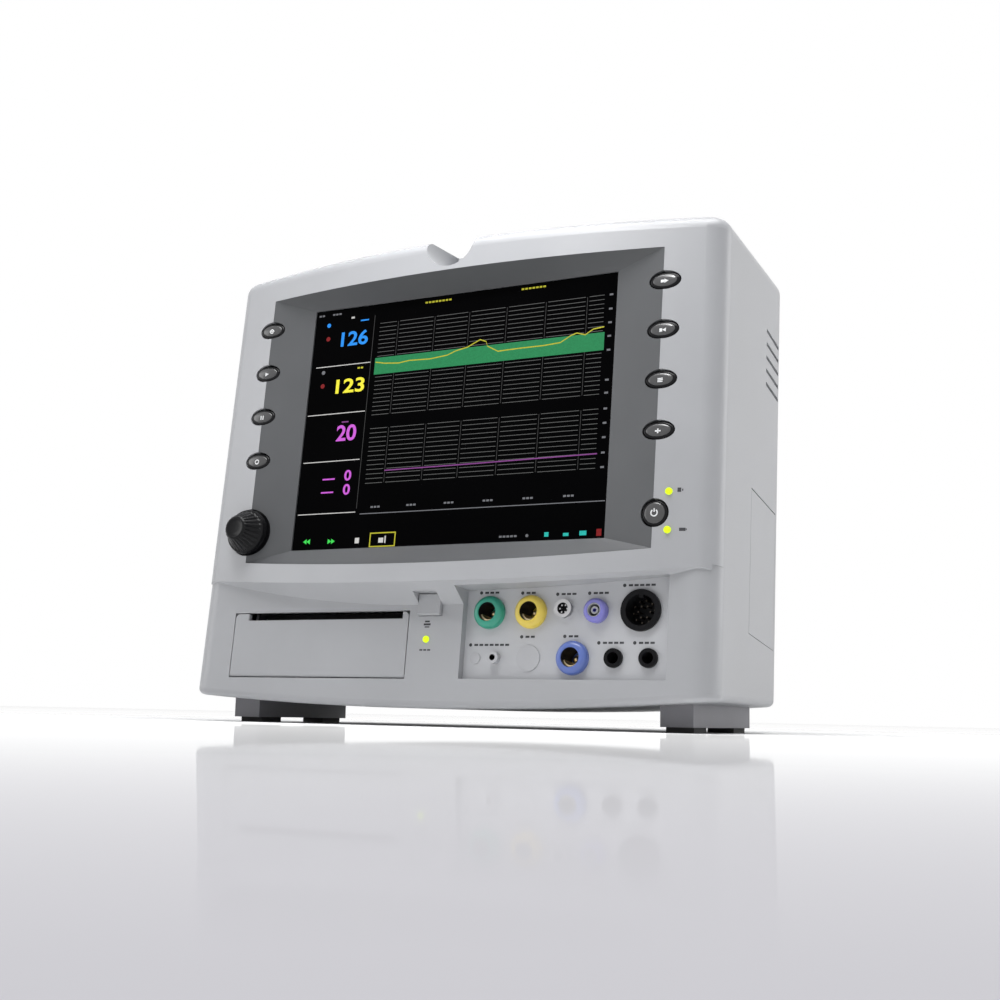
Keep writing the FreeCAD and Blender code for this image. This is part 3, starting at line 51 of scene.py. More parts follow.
# Depths of the case's faces, the middle of the screen in z, and the curve of the bulged front
SCREEN_FACE = -19.0
SCREEN_MIDDLE = 183.0
KEY_FACE = -24.0
PANEL_FACE = -20.0
RECESS_FACE = -15.0
REAR_FACE = 127.0
FRONT_CREST = -36.0
FRONT_RADIUS = 858.78


# Materials

PATCH_DETAIL, GRAIN_DETAIL = 4, 2
GLOSS_SPREAD = 0.15
GRAIN_DEPTH = 0.0002
RASTER = 1800
UNLIT_SHARE = 0.2


def linear(red, green, blue):
    """A colour given as seen on a screen, 0 to 255, as the linear colour that shaders take."""
    def one(level):
        share = level / 255
        return share / 12.92 if share <= 0.04045 else ((share + 0.055) / 1.055) ** 2.4
    return one(red), one(green), one(blue)


def grey(level):
    return level, level, level


def noise(tree, scale, detail, stretch=(1, 1, 1)):
    """Soft random values in the object's own frame, which stretch packs closer along an axis."""
    place = tree.nodes.new("ShaderNodeTexCoord")
    warp = tree.nodes.new("ShaderNodeMapping")
    warp.inputs["Scale"].default_value = stretch
    cloud = tree.nodes.new("ShaderNodeTexNoise")
    cloud.inputs["Scale"].default_value = scale
    cloud.inputs["Detail"].default_value = detail
    tree.links.new(place.outputs["Object"], warp.inputs["Vector"])
    tree.links.new(warp.outputs["Vector"], cloud.inputs["Vector"])
    return cloud.outputs[0]


def ramp(tree, value, low, high, start=0.3, stop=0.7):
    """Colours that run from low to high as the value goes from start to stop."""
    scale = tree.nodes.new("ShaderNodeValToRGB")
    first, last = scale.color_ramp.elements
    first.position, last.position = start, stop
    first.color, last.color = (*low, 1), (*high, 1)
    tree.links.new(value, scale.inputs["Fac"])
    return scale.outputs["Color"]


def shades(colour, spread):
    """The colour made a little darker, and a little lighter."""
    low = [level * (1 - spread) for level in colour]
    return low, [min(1.0, level * (1 + spread)) for level in colour]


def surface(name, colour, rough, spread=0.05, patch=22, grain=2400, relief=0.12, stretch=(1, 1, 1),
            metal=0.0, coat=0.0, level=0.5):
    """A moulded, painted or metal surface: soft patches of colour and gloss, and a fine grain in relief."""
    material = bpy.data.materials.new(name)
    material.use_nodes = True
    tree = material.node_tree
    shader = tree.nodes["Principled BSDF"]
    broad = noise(tree, patch, PATCH_DETAIL, stretch)
    fine = noise(tree, grain, GRAIN_DETAIL, stretch)
    tree.links.new(ramp(tree, broad, *shades(colour, spread)), shader.inputs["Base Color"])
    gloss = tree.nodes.new("ShaderNodeMapRange")
    gloss.inputs["To Min"].default_value = rough * (1 - GLOSS_SPREAD)
    gloss.inputs["To Max"].default_value = rough * (1 + GLOSS_SPREAD)
    tree.links.new(broad, gloss.inputs["Value"])
    tree.links.new(gloss.outputs["Result"], shader.inputs["Roughness"])
    bump = tree.nodes.new("ShaderNodeBump")
    bump.inputs["Strength"].default_value = relief
    bump.inputs["Distance"].default_value = GRAIN_DEPTH
    tree.links.new(fine, bump.inputs["Height"])
    tree.links.new(bump.outputs["Normal"], shader.inputs["Normal"])
    shader.inputs["Metallic"].default_value = metal
    shader.inputs["Coat Weight"].default_value = coat
    shader.inputs["Specular IOR Level"].default_value = level
    return material


def glow(name, colour, strength=1.0, spread=0.1):
    """A lit surface with the faint raster of a display."""
    material = bpy.data.materials.new(name)
    material.use_nodes = True
    tree = material.node_tree
    shader = tree.nodes["Principled BSDF"]
    cells = noise(tree, RASTER, 0)
    unlit = [level * UNLIT_SHARE for level in colour]
    tree.links.new(ramp(tree, cells, *shades(colour, spread)), shader.inputs["Emission Color"])
    tree.links.new(ramp(tree, cells, *shades(unlit, spread)), shader.inputs["Base Color"])
    shader.inputs["Emission Strength"].default_value = strength
    shader.inputs["Roughness"].default_value = 0.5
    shader.inputs["Specular IOR Level"].default_value = 0.1
    return material


FINISHES = {
    "casing": surface("casing_plastic", (0.37, 0.376, 0.393), 0.34, 0.03),
    "panel": surface("panel_plastic", (0.48, 0.487, 0.507), 0.36, 0.03),
    "surround": surface("surround_plastic", (0.092, 0.095, 0.1), 0.42, 0.05, level=0.3),
    "glass": surface("screen_glass", (0.001, 0.001, 0.0012), 0.1, 0.2, relief=0.02, level=0.01),
    "screen": surface("screen_back", (0.012, 0.012, 0.014), 0.3, 0.1),
    "rubber": surface("black_rubber", grey(0.03), 0.8, 0.15, grain=1500, relief=0.3),
    "steel": surface("zinc_sheet", (0.55, 0.55, 0.56), 0.32, 0.12, 60, 900, 0.1, (1, 1, 12), 1.0),
    "board": surface("green_board", (0.03, 0.16, 0.07), 0.45, 0.3, 300, 1200, 0.2),
    "black": surface("black_gloss", (0.006, 0.006, 0.007), 0.2, 0.15, relief=0.05, level=0.15),
    "dark_plastic": surface("black_moulding", (0.008, 0.008, 0.009), 0.4, 0.12, relief=0.15, level=0.08),
    "green": surface("green_plastic", linear(35, 150, 125), 0.3, 0.06, coat=0.3),
    "yellow": surface("yellow_plastic", linear(225, 200, 80), 0.3, 0.06, coat=0.3),
    "blue": surface("blue_plastic", linear(85, 108, 178), 0.3, 0.06, coat=0.3),
    "violet": surface("violet_plastic", linear(118, 116, 196), 0.22, 0.06, coat=0.6),
    "brass": surface("brass_metal", (0.62, 0.5, 0.3), 0.3, 0.15, 200, 1800, 0.1, metal=1.0),
    "bright_metal": surface("nickel_metal", (0.42, 0.42, 0.43), 0.3, 0.2, 150, 2000, 0.1, metal=1.0),
    "blank": surface("cap_plastic", (0.45, 0.455, 0.475), 0.45, 0.03),
    "aluminium": surface("aluminium_metal", (0.72, 0.72, 0.73), 0.35, 0.08, 90, 1500, 0.1, metal=1.0),
    "gear": surface("acetal_plastic", (0.8, 0.79, 0.75), 0.4, 0.04),
    # Foot rails: dark grey plastic, painted darker still as painted shade from the case above them
    "foot": surface("foot_plastic_painted_shade", (0.2, 0.198, 0.215), 0.5, 0.05),
    "lamp": glow("lamp_lens", linear(215, 245, 40), 1.1, 0.08),
}
# Key crowns: glossy black plastic under a clear coat, painted a little lighter than the keys' rims as a
# painted reflection of the lights
KEY_CROWN_SHEEN = surface("key_gloss_painted_sheen", (0.045, 0.045, 0.047), 0.2, 0.2, relief=0.05, coat=0.5)
# Dark print for marks and labels, also used as painted shade for the cross slots in the screw heads
DARK_PRINT_AND_SHADE = surface("dark_print_and_painted_shade", (0.03, 0.03, 0.035), 0.6, 0.2)
PRINT_PALE = surface("printed_pale", (0.4, 0.41, 0.42), 0.55, 0.08)
KEY_PRINT = surface("key_print", (0.75, 0.76, 0.77), 0.5, 0.05)
PIN_METAL = surface("pin_metal", (0.1, 0.085, 0.07), 0.4, 0.15, 200, 1800, 0.1, metal=1.0)

# The nodes of the part that each finish goes on
NODE_FINISHES = {
    "casing": "front_housing rear_housing battery_cover printer_door print_button",
    "panel": "connector_panel",
    "surround": "screen_surround",
    "glass": "display_window",
    "screen": "lcd_panel",
    "rubber": "display_gasket platen_roller foot_pads",
    "steel": "lcd_bracket chassis encoder_shaft platen_shaft printer_frame motor_bracket housing_screws "
             "encoder_plunger",
    "board": "left_key_board right_key_board main_board print_key_board",
    "black": "knob knob_collar power_button left_key_1 left_key_2 left_key_3 left_key_4 right_key_1 "
             "right_key_2 right_key_3 right_key_4",
    "dark_plastic": "encoder_body battery_pack battery_holder mains_inlet large_socket jack_sockets speaker",
    "lamp": "status_lamps",
    "green": "green_socket",
    "yellow": "yellow_socket",
    "blue": "blue_socket",
    "violet": "hose_port",
    "brass": "socket_contacts earth_stud",
    "bright_metal": "multi_pin_socket",
    "blank": "blanking_plugs probe_jack",
    "aluminium": "power_supply pump drive_motor print_head",
    "gear": "platen_gear motor_pinion",
    "foot": "foot_rails",
}
for finish, names in NODE_FINISHES.items():
    for name in names.split():
        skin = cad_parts[name].data
        skin.materials.clear()
        skin.materials.append(FINISHES[finish])


# Shapes, each as its corners and its faces

def depth_at(depth, x):
    """A depth that is one number, or that follows x."""
    return depth(x) if callable(depth) else depth


def prism(outline, front, back):
    """A plate: its outline in x and z, between a front and a back depth, which may follow x."""
    count = len(outline)
    corners = [(x, depth_at(front, x), z) for x, z in outline]
    corners += [(x, depth_at(back, x), z) for x, z in outline]
    faces = [list(range(count)), list(range(2 * count - 1, count - 1, -1))]
    for here in range(count):
        after = (here + 1) % count
        faces.append([here, here + count, after + count, after])
    return corners, faces


def bar(x, z, width, height, front, back):
    """A rectangular plate about its middle."""
    across, up = width / 2, height / 2
    outline = [(x - across, z - up), (x + across, z - up), (x + across, z + up), (x - across, z + up)]
    return prism(outline, front, back)


def disc(x, z, radius, front, back, steps=24):
    """A round plate about its middle."""
    turns = [2 * math.pi * step / steps for step in range(steps)]
    return prism([(x + radius * math.cos(turn), z + radius * math.sin(turn)) for turn in turns], front, back)


def sleeve(x, z, inner, outer, front, back, start=0, stop=360, steps=48):
    """A tube, or part of one, about an axis from front to back."""
    whole = stop - start == 360
    stations = steps if whole else steps + 1
    corners = []
    for station in range(stations):
        turn = math.radians(start + (stop - start) * station / steps)
        for radius, y in ((outer, front), (outer, back), (inner, back), (inner, front)):
            corners.append((x + radius * math.cos(turn), y, z + radius * math.sin(turn)))
    faces = []
    for station in range(steps):
        here, after = 4 * station, 4 * ((station + 1) % stations)
        for side in range(4):
            beside = (side + 1) % 4
            faces.append([here + side, after + side, after + beside, here + beside])
    if not whole:
        faces += [[0, 1, 2, 3], [4 * steps + side for side in (3, 2, 1, 0)]]
    return corners, faces


def turned(x, z, rings, steps=64, ridges=0, ridge=0.0):
    """A solid about an axis from front to back. A ring gives half its width and height, its depth, and
    whether it is ridged."""
    corners = []
    for wide, tall, y, ridged in rings:
        for step in range(steps):
            turn = 2 * math.pi * step / steps
            more = ridge * math.cos(ridges * turn) if ridged else 0.0
            corners.append((x + (wide + more) * math.cos(turn), y, z + (tall + more) * math.sin(turn)))
    faces = [list(range(steps)), list(range(len(corners) - 1, len(corners) - steps - 1, -1))]
    for ring in range(len(rings) - 1):
        for step in range(steps):
            after = (step + 1) % steps
            low, high = ring * steps, (ring + 1) * steps
            faces.append([low + step, high + step, high + after, low + after])
    return corners, faces


def build(name, shapes, material, body="case", smooth=None):
    """One object made of closed shapes, which rides on a body of the part. Edges under smooth degrees are
    shaded as round."""
    corners, faces = [], []
    for points, sides in shapes:
        first = len(corners)
        corners += [Vector(point) * MM for point in points]
        faces += [[first + number for number in side] for side in sides]
    mesh = bpy.data.meshes.new(name)
    mesh.from_pydata(corners, [], faces)
    work = bmesh.new()
    work.from_mesh(mesh)
    bmesh.ops.recalc_face_normals(work, faces=work.faces)
    work.to_mesh(mesh)
    work.free()
    if smooth is not None:
        mesh.shade_smooth()
        mesh.set_sharp_from_angle(angle=math.radians(smooth))
    mesh.materials.append(material)
    thing = bpy.data.objects.new(name, mesh)
    bpy.context.scene.collection.objects.link(thing)
    thing.matrix_world = LEAN
    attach(thing, body)
    return thing


# The picture on the screen: x across and t up from the middle of the screen

GRID_FRONT = SCREEN_FACE - 0.06
BAND_FRONT = SCREEN_FACE - 0.08
TRACE_FRONT = SCREEN_FACE - 0.11
PICTURE_BACK = SCREEN_FACE + 0.01
WORD_PITCH, WORD_WIDTH, WORD_HEIGHT = 2.4, 1.7, 1.1
ARROW_HALF, ARROW_RISE = 1.3, 1.6
CHART_LEFT, CHART_RIGHT = -57.5, 98.5
UPPER_CHART, LOWER_CHART = (5.5, 66), (-38.4, -3.4)
UPRIGHTS = (-42.8, -16.3, 8.1, 33.8, 59.8, 86.5)
RULE_HALF, RULE_GAP = 0.14, 1.2


def lit_bar(x0, t0, x1, t1, front=TRACE_FRONT):
    """A lit rectangle between two of its corners."""
    return bar((x0 + x1) / 2, SCREEN_MIDDLE + (t0 + t1) / 2, x1 - x0, t1 - t0, front, PICTURE_BACK)


def lit_block(x, t, width, height):
    """A lit rectangle about its middle."""
    return lit_bar(x - width / 2, t - height / 2, x + width / 2, t + height / 2)


def lit_words(x, t, length):
    """A row of small dashes in the place of words, which starts at x."""
    return [lit_block(x + (number + 0.5) * WORD_PITCH, t, WORD_WIDTH, WORD_HEIGHT)
            for number in range(int(length / WORD_PITCH))]


def lit_dot(x, t, radius):
    return disc(x, SCREEN_MIDDLE + t, radius, TRACE_FRONT, PICTURE_BACK)


def lit_line(points, width):
    """A trace of even height along points that run from left to right."""
    over = [(x, SCREEN_MIDDLE + t + width / 2) for x, t in points]
    under = [(x, SCREEN_MIDDLE + t - width / 2) for x, t in points]
    return prism(under + over[::-1], TRACE_FRONT, PICTURE_BACK)


def lit_frame(x0, t0, x1, t1, line):
    """An empty box of four lit lines."""
    return [lit_bar(x0, t0, x1, t0 + line), lit_bar(x0, t1 - line, x1, t1),
            lit_bar(x0, t0, x0 + line, t1), lit_bar(x1 - line, t0, x1, t1)]


def lit_arrow(x, t, pointing):
    """A pair of small triangles, one behind the other."""
    shapes = []
    for step in (-ARROW_HALF, ARROW_HALF):
        tip = (x + step + ARROW_HALF * pointing, SCREEN_MIDDLE + t)
        high = (x + step - ARROW_HALF * pointing, SCREEN_MIDDLE + t + ARROW_RISE)
        low = (x + step - ARROW_HALF * pointing, SCREEN_MIDDLE + t - ARROW_RISE)
        outline = [tip, high, low] if pointing < 0 else [low, tip, high]
        shapes.append(prism(outline, TRACE_FRONT, PICTURE_BACK))
    return shapes


def numerals(text, x0, t0, x1, t1):
    """Figures drawn to fill a box on the screen."""
    letters = bpy.data.curves.new("figures", "FONT")
    letters.body = text
    letters.extrude = 0.5
    letters.offset = 0.02
    holder = bpy.data.objects.new("figures", letters)
    bpy.context.scene.collection.objects.link(holder)
    bpy.context.view_layer.update()
    drawn = bpy.data.meshes.new_from_object(holder.evaluated_get(bpy.context.evaluated_depsgraph_get()))
    bpy.data.objects.remove(holder)
    spots = [vertex.co for vertex in drawn.vertices]
    left, right = min(spot.x for spot in spots), max(spot.x for spot in spots)
    low, high = min(spot.y for spot in spots), max(spot.y for spot in spots)
    corners = []
    for spot in spots:
        corners.append((x0 + (spot.x - left) / (right - left) * (x1 - x0),
                        TRACE_FRONT if spot.z > 0 else PICTURE_BACK,
                        SCREEN_MIDDLE + t0 + (spot.y - low) / (high - low) * (t1 - t0)))
    faces = [list(face.vertices) for face in drawn.polygons]
    bpy.data.meshes.remove(drawn)
    return corners, faces


def chart_lines(low, high, pitch):
    """The level lines of one chart, with gaps at its uprights."""
    shapes = []
    count = int((high - low) / pitch)
    for number in range(count + 1):
        t = low + number * (high - low) / count
        for left, right in zip((CHART_LEFT, *UPRIGHTS), (*UPRIGHTS, CHART_RIGHT)):
            shapes.append(lit_bar(left + RULE_GAP, t - RULE_HALF, right - RULE_GAP, t + RULE_HALF,
                                  GRID_FRONT))
    return shapes


def chart_uprights(low, high):
    """The upright lines of one chart."""
    return [lit_bar(x - RULE_HALF, low, x + RULE_HALF, high, GRID_FRONT) for x in UPRIGHTS]


HEART_TRACE = [(-57, 40.2), (-50.3, 38.9), (-39.9, 38), (-32.1, 38.9), (-17.4, 38.4), (-5.3, 39.6),
               (0.6, 41.8), (8.2, 43.2), (16.8, 47.2), (21, 45.6), (22.1, 42.5), (29.6, 38.4), (34.3, 38.6),
               (46.1, 38.8), (60.1, 38.8), (70.7, 39.5), (77.3, 43.2), (81, 44.3), (86.4, 42.6),
               (91.4, 45.6), (98.1, 46.3)]
PRESSURE_TRACE = [(-43, -30.9), (20, -30.6), (60, -30.2), (98, -29.9)]
TIME_WORDS = (-46.9, -21.5, 4.4, 30.5, 56.5, 82.2)
SCALE_WORDS = (65.8, 57, 48.6, 40.3, 31.8, 13.7, 5.9, -3.5, -12, -20.5, -29.5, -38)

white = [lit_bar(-102, 40.45, -61, 40.95), lit_bar(-104.5, 8.35, -61.5, 8.85),
         lit_bar(-104, -22.85, -62, -22.35), lit_bar(-104, -56.45, -61.4, -55.95),
         lit_block(-77.4, 72.4, 2.4, 1.2), lit_block(-58.1, -74.2, 3, 3.4),
         lit_block(-41, -74.6, 3.4, 3), lit_block(-38, -74.2, 0.8, 4.4)]
dim = [lit_bar(-60.85, -54, -60.55, 72)] + chart_uprights(*UPPER_CHART) + chart_uprights(*LOWER_CHART)
pale = [lit_bar(-58, -57.85, 104.4, -57.35), lit_dot(-95.9, 36.9, 1.3), lit_dot(57.2, -75.7, 0.9)]
pale += lit_words(-104, 76, 6) + lit_words(-93.5, 76, 9) + lit_words(39, -75.7, 14)
for x in TIME_WORDS:
    pale += lit_words(x - 4, -53.6, 8)
for t in SCALE_WORDS:
    pale.append(lit_block(101.6, t, 2.2, 1.1))
blue = [numerals("126", -84.8, 53.3, -64.6, 63.2), lit_dot(-95.4, 68.9, 1.4),
        lit_block(-68.2, 69.7, 6, 0.9)]
yellow = [numerals("123", -85.2, 21.8, -63.9, 31.3)]
amber = [lit_line(HEART_TRACE, 0.7)]
amber += lit_words(-70.5, 37.7, 6) + lit_words(-24.5, 76, 20) + lit_words(42.3, 76.4, 17)
amber += lit_frame(-49.1, -78.7, -30.8, -69.7, 0.7)
violet = [numerals("20", -81.1, -9.9, -66.5, 0.6), numerals("0", -72, -35.8, -67, -29),
          numerals("0", -72, -44.8, -67, -38), lit_block(-83.5, -34.2, 9, 0.9),
          lit_block(-83.7, -42.7, 9, 0.9)]
plum = [lit_line(PRESSURE_TRACE, 0.7), lit_block(-75.5, 2.6, 5, 0.8)]
red = [lit_dot(-94.9, 59.6, 1.5), lit_dot(-95.5, 27.8, 1.5), lit_block(101.8, -75.6, 3, 4)]
teal = [lit_block(69.5, -75.5, 2.6, 2.6), lit_block(81.6, -76, 3.4, 1.8), lit_block(92.1, -75.6, 4.2, 2.6)]
PICTURE = {
    "screen_white": (white, linear(188, 187, 185)),
    "screen_grey": (pale, linear(105, 106, 110)),
    "screen_dim": (dim, linear(58, 58, 58)),
    "screen_grid": (chart_lines(*UPPER_CHART, 2.75) + chart_lines(*LOWER_CHART, 2.9), linear(92, 93, 92)),
    "screen_band": ([lit_bar(CHART_LEFT, 32, CHART_RIGHT, 43, BAND_FRONT)], linear(36, 120, 74)),
    "screen_blue": (blue, linear(40, 135, 225)),
    "screen_yellow": (yellow, linear(228, 220, 60)),
    "screen_amber": (amber, linear(172, 168, 48)),
    "screen_violet": (violet, linear(190, 88, 200)),
    "screen_plum": (plum, linear(120, 62, 125)),
    "screen_red": (red, linear(120, 27, 29)),
    "screen_teal": (teal, linear(40, 170, 160)),
    "screen_green": (lit_arrow(-95.3, -73.6, -1) + lit_arrow(-76.9, -74, 1), linear(60, 205, 80)),
}
for name, (shapes, colour) in PICTURE.items():
    build(name, shapes, glow(name + "_light", colour))


# Keys, power button and knob

KEY_SIDE = 136.3
KEY_HEIGHTS = (251, 221.5, 192, 162.5)
CONTROL_HEIGHT = 115.6
CROWN_BASE, CROWN_RISE, CROWN_SMOOTH = KEY_FACE + 0.1, 0.75, 50
KEY_HALF_WIDTH, KEY_HALF_HEIGHT, POWER_RADIUS = 7.2, 3.6, 5.9
MARK_FRONT, MARK_BACK, MARK_DROP = KEY_FACE - 0.8, KEY_FACE - 0.5, 0.6
HOOP_HALF, HOOP_STEPS = 0.35, 24
DOME_SHARES = ((1.0, 0.0), (1.0, 0.25), (0.97, 0.45), (0.88, 0.66), (0.7, 0.84), (0.45, 0.95), (0.12, 1.0))


def dome(x, z, wide, tall, base, rise):
    """A shallow crowned cap with a soft edge."""
    return turned(x, z, [(wide * share, tall * share, base - rise * up, False) for share, up in DOME_SHARES])


def mark(x, z, width, height):
    """A printed bar on a key."""
    return bar(x, z, width, height, MARK_FRONT, MARK_BACK)


def hoop(x, z, radius, start=0, stop=360):
    """A printed ring, or part of one, on a key."""
    return sleeve(x, z, radius - HOOP_HALF, radius + HOOP_HALF, MARK_FRONT, MARK_BACK, start, stop,
                  HOOP_STEPS)


def wedge(x, z, reach, pointing):
    """A printed triangle on a key."""
    tip, tail = (x + reach * pointing, z), x - reach * pointing
    outline = [tip, (tail, z + reach), (tail, z - reach)]
    return prism(outline if pointing < 0 else outline[::-1], MARK_FRONT, MARK_BACK)


def key_mark(side, number, x, z):
    """A plain pictogram for each key."""
    drawn = {
        ("left", 1): [hoop(x, z, 1.2), mark(x, z, 3.6, 0.6)],
        ("left", 2): [wedge(x, z, 1.3, 1)],
        ("left", 3): [mark(x - 0.8, z, 0.7, 2.6), mark(x + 0.8, z, 0.7, 2.6)],
        ("left", 4): [hoop(x, z, 1.3)],
        ("right", 1): [mark(x - 1.0, z, 2.4, 1.6), wedge(x + 1.2, z, 1.2, 1)],
        ("right", 2): [mark(x - 0.9, z, 1.6, 2.0), wedge(x + 1.0, z, 1.1, -1)],
        ("right", 3): [mark(x, z + 0.9, 3.0, 0.6), mark(x, z, 3.0, 0.6), mark(x, z - 0.9, 3.0, 0.6)],
        ("right", 4): [mark(x, z, 3.2, 0.8), mark(x, z, 0.8, 2.6)],
    }
    return drawn[side, number]


for side, sign in (("left", -1), ("right", 1)):
    for number, z in enumerate(KEY_HEIGHTS, start=1):
        x = sign * KEY_SIDE
        body = f"{side}_key_{number}"
        crown = dome(x, z, KEY_HALF_WIDTH, KEY_HALF_HEIGHT, CROWN_BASE, CROWN_RISE)
        build(f"{body}_crown", [crown], KEY_CROWN_SHEEN, body, CROWN_SMOOTH)
        build(f"{body}_mark", key_mark(side, number, x, z - MARK_DROP), KEY_PRINT, body)
crown = dome(KEY_SIDE, CONTROL_HEIGHT, POWER_RADIUS, POWER_RADIUS, CROWN_BASE, CROWN_RISE)
build("power_button_crown", [crown], KEY_CROWN_SHEEN, "power_button", CROWN_SMOOTH)
power_sign = [hoop(KEY_SIDE, CONTROL_HEIGHT, 1.8, 125, 415), mark(KEY_SIDE, CONTROL_HEIGHT + 1.5, 0.6, 2)]
build("power_button_mark", power_sign, KEY_PRINT, "power_button")

# Each ring of the knob as its radius, its depth and whether it is ridged
KNOB_RINGS = [(3.2, -24.45, False), (13.6, -24.45, False), (14, -24.8, False), (14, -28, False),
              (13.6, -28.7, False), (12.9, -28.9, False), (12.3, -29.2, True), (11.9, -29.8, True),
              (7.9, -37.9, True), (7.5, -38.6, False), (6.9, -39.1, False), (6.2, -39.35, False),
              (5.6, -39.2, False), (5.2, -39, False), (3, -38.85, False), (0.3, -38.8, False)]
KNOB_STEPS, KNOB_RIDGES, KNOB_RIDGE = 216, 24, 0.25
grip = turned(-KEY_SIDE, CONTROL_HEIGHT, [(radius, radius, y, ridged) for radius, y, ridged in KNOB_RINGS],
              KNOB_STEPS, KNOB_RIDGES, KNOB_RIDGE)
knob = build("knob_grip", [grip], FINISHES["black"], "knob", 40)
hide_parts("knob")


# Lamps and the small printed marks beside them

def front_face(x):
    """The depth of the case's bulged front."""
    return FRONT_CREST + FRONT_RADIUS - math.sqrt(FRONT_RADIUS ** 2 - x ** 2)


LAMP_SIDE = 144
LAMPS = ((LAMP_SIDE, 127.4, front_face(LAMP_SIDE)),
         (LAMP_SIDE, 106, front_face(LAMP_SIDE)),
         (-3, 48, PANEL_FACE))
LENS_RADIUS, LENS_BASE, LENS_RISE = 1.9, 0.5, 0.8
lenses = [dome(x, z, LENS_RADIUS, LENS_RADIUS, y - LENS_BASE, LENS_RISE) for x, z, y in LAMPS]
build("lamp_lenses", lenses, FINISHES["lamp"], smooth=50)

PRINT_OVER, PRINT_UNDER = 0.03, 0.05
CURVED_OVER, CURVED_UNDER = 0.04, 0.1


def printed(x, z, width, height):
    """A printed bar on the lower panel."""
    return bar(x, z, width, height, PANEL_FACE - PRINT_OVER, PANEL_FACE + PRINT_UNDER)


def on_front(x, z, width, height):
    """A printed bar that follows the bulged front."""
    return bar(x, z, width, height, lambda at: front_face(at) - CURVED_OVER,
               lambda at: front_face(at) + CURVED_UNDER)


small_marks = [on_front(149.6, 128.2, 2.0, 2.4), on_front(151.4, 128.2, 0.6, 1.2),
               on_front(152.0, 106.2, 3.4, 1.8), on_front(154.1, 106.2, 0.5, 1.0),
               printed(-3.1, 56.7, 4.6, 1.2), printed(-3.1, 58.4, 3.2, 1.0), printed(-3.1, 55.2, 3.2, 0.7)]
small_marks += [printed(-3.3 + step, 41.8, 2.0, 0.9) for step in (-2.6, 0, 2.6)]
build("small_marks", small_marks, DARK_PRINT_AND_SHADE)

# Each row over a socket as its left and right ends and its height: a dot, and dashes in the place of words
SOCKET_MARKS = ((27.5, 42.4, 75.5), (54.0, 65.3, 74.9), (76.0, 88.9, 73.8), (95.5, 109.4, 74.0),
                (116.2, 138.4, 77.9), (22.9, 49.3, 45.4), (55.2, 65.2, 49.9), (81.9, 94.5, 50.0),
                (102.6, 119.1, 46.3), (123.7, 139.8, 46.2))
DOT_RADIUS, DASH_START = 1.0, 3
DASH_PITCH, DASH_GAP, DASH_HEIGHT = 3.3, 0.8, 1.2
LABEL_FRONT, LABEL_BACK = RECESS_FACE - PRINT_OVER, RECESS_FACE + PRINT_UNDER
dashes = []
for left, right, z in SOCKET_MARKS:
    dashes.append(disc(left + DOT_RADIUS, z, DOT_RADIUS, LABEL_FRONT, LABEL_BACK))
    start = left + DASH_START
    for number in range(int((right - start) / DASH_PITCH)):
        dashes.append(bar(start + (number + 0.5) * DASH_PITCH, z, DASH_PITCH - DASH_GAP, DASH_HEIGHT,
                          LABEL_FRONT, LABEL_BACK))
build("socket_marks", dashes, DARK_PRINT_AND_SHADE)


# Inside the sockets, with depths from the face of the recess

UPPER_ROW, LOWER_ROW = 63.8, 37.8
RING_SOCKETS = ((35.3, UPPER_ROW), (61.5, UPPER_ROW), (88.7, LOWER_ROW))
HOSE, PROBE, MULTI_PIN = (101.6, UPPER_ROW), (40.3, LOWER_ROW), (81.8, 65.3)
JACKS = ((113, LOWER_ROW), (133.2, LOWER_ROW))
LARGE_SIDE = 127.8
SOCKET_SMOOTH = 40
# Each ring of a pin as its radius and its depth
RING_PIN = ((1.6, 10.3), (1.6, 3.6), (1.2, 3), (0.4, 2.7))
LARGE_PIN = ((0.6, 9.8), (0.6, 4.4), (0.35, 3.8))
# Each circle of pins in the large socket as its radius, its count and the angle of its first pin
PIN_CIRCLES = ((6.2, 10, 9), (3.5, 6, 0))


def bush(place, inner, outer, front, back, start=0, stop=360, steps=48):
    """A tube, or part of one, in a socket."""
    return sleeve(*place, inner, outer, RECESS_FACE + front, RECESS_FACE + back, start, stop, steps)


def pin(place, rings, steps):
    """A pin in a socket."""
    return turned(*place, [(radius, radius, RECESS_FACE + depth, False) for radius, depth in rings], steps)


linings = [bush(place, 5.2, 5.45, -4.6, 10.4) for place in RING_SOCKETS]
linings.append(bush(PROBE, 1.55, 1.75, -3.8, 7.5, steps=24))
linings.append(disc(*MULTI_PIN, 3.15, RECESS_FACE + 1.2, RECESS_FACE + 2.4))
linings += [bush(place, 3.25, 4.1, -2.2, -1.9) for place in JACKS]
build("socket_linings", linings, FINISHES["dark_plastic"], smooth=SOCKET_SMOOTH)
contacts = [bush(place, 4.2, 5.1, -2.4, 10.2, 195, 345, 24) for place in RING_SOCKETS]
contacts += [pin(place, RING_PIN, 24) for place in RING_SOCKETS]
build("socket_sleeves", contacts, FINISHES["brass"], smooth=SOCKET_SMOOTH)
hose = [bush(HOSE, 3.5, 3.9, -4.8, 10.6, steps=32), bush(HOSE, 1.2, 2.15, -3.7, 10.6, steps=24)]
build("hose_lining", hose, PRINT_PALE, smooth=SOCKET_SMOOTH)

pins = []
for radius, count, offset in PIN_CIRCLES:
    for number in range(count):
        turn = math.radians(offset + 360 * number / count)
        place = (LARGE_SIDE + radius * math.cos(turn), UPPER_ROW + radius * math.sin(turn))
        pins.append(pin(place, LARGE_PIN, 16))
build("large_socket_pins", pins, PIN_METAL, smooth=SOCKET_SMOOTH)
build("large_socket_key", [bar(LARGE_SIDE, UPPER_ROW + 7.7, 2.6, 1.6, RECESS_FACE - 2, RECESS_FACE + 9.5)],
      FINISHES["dark_plastic"])
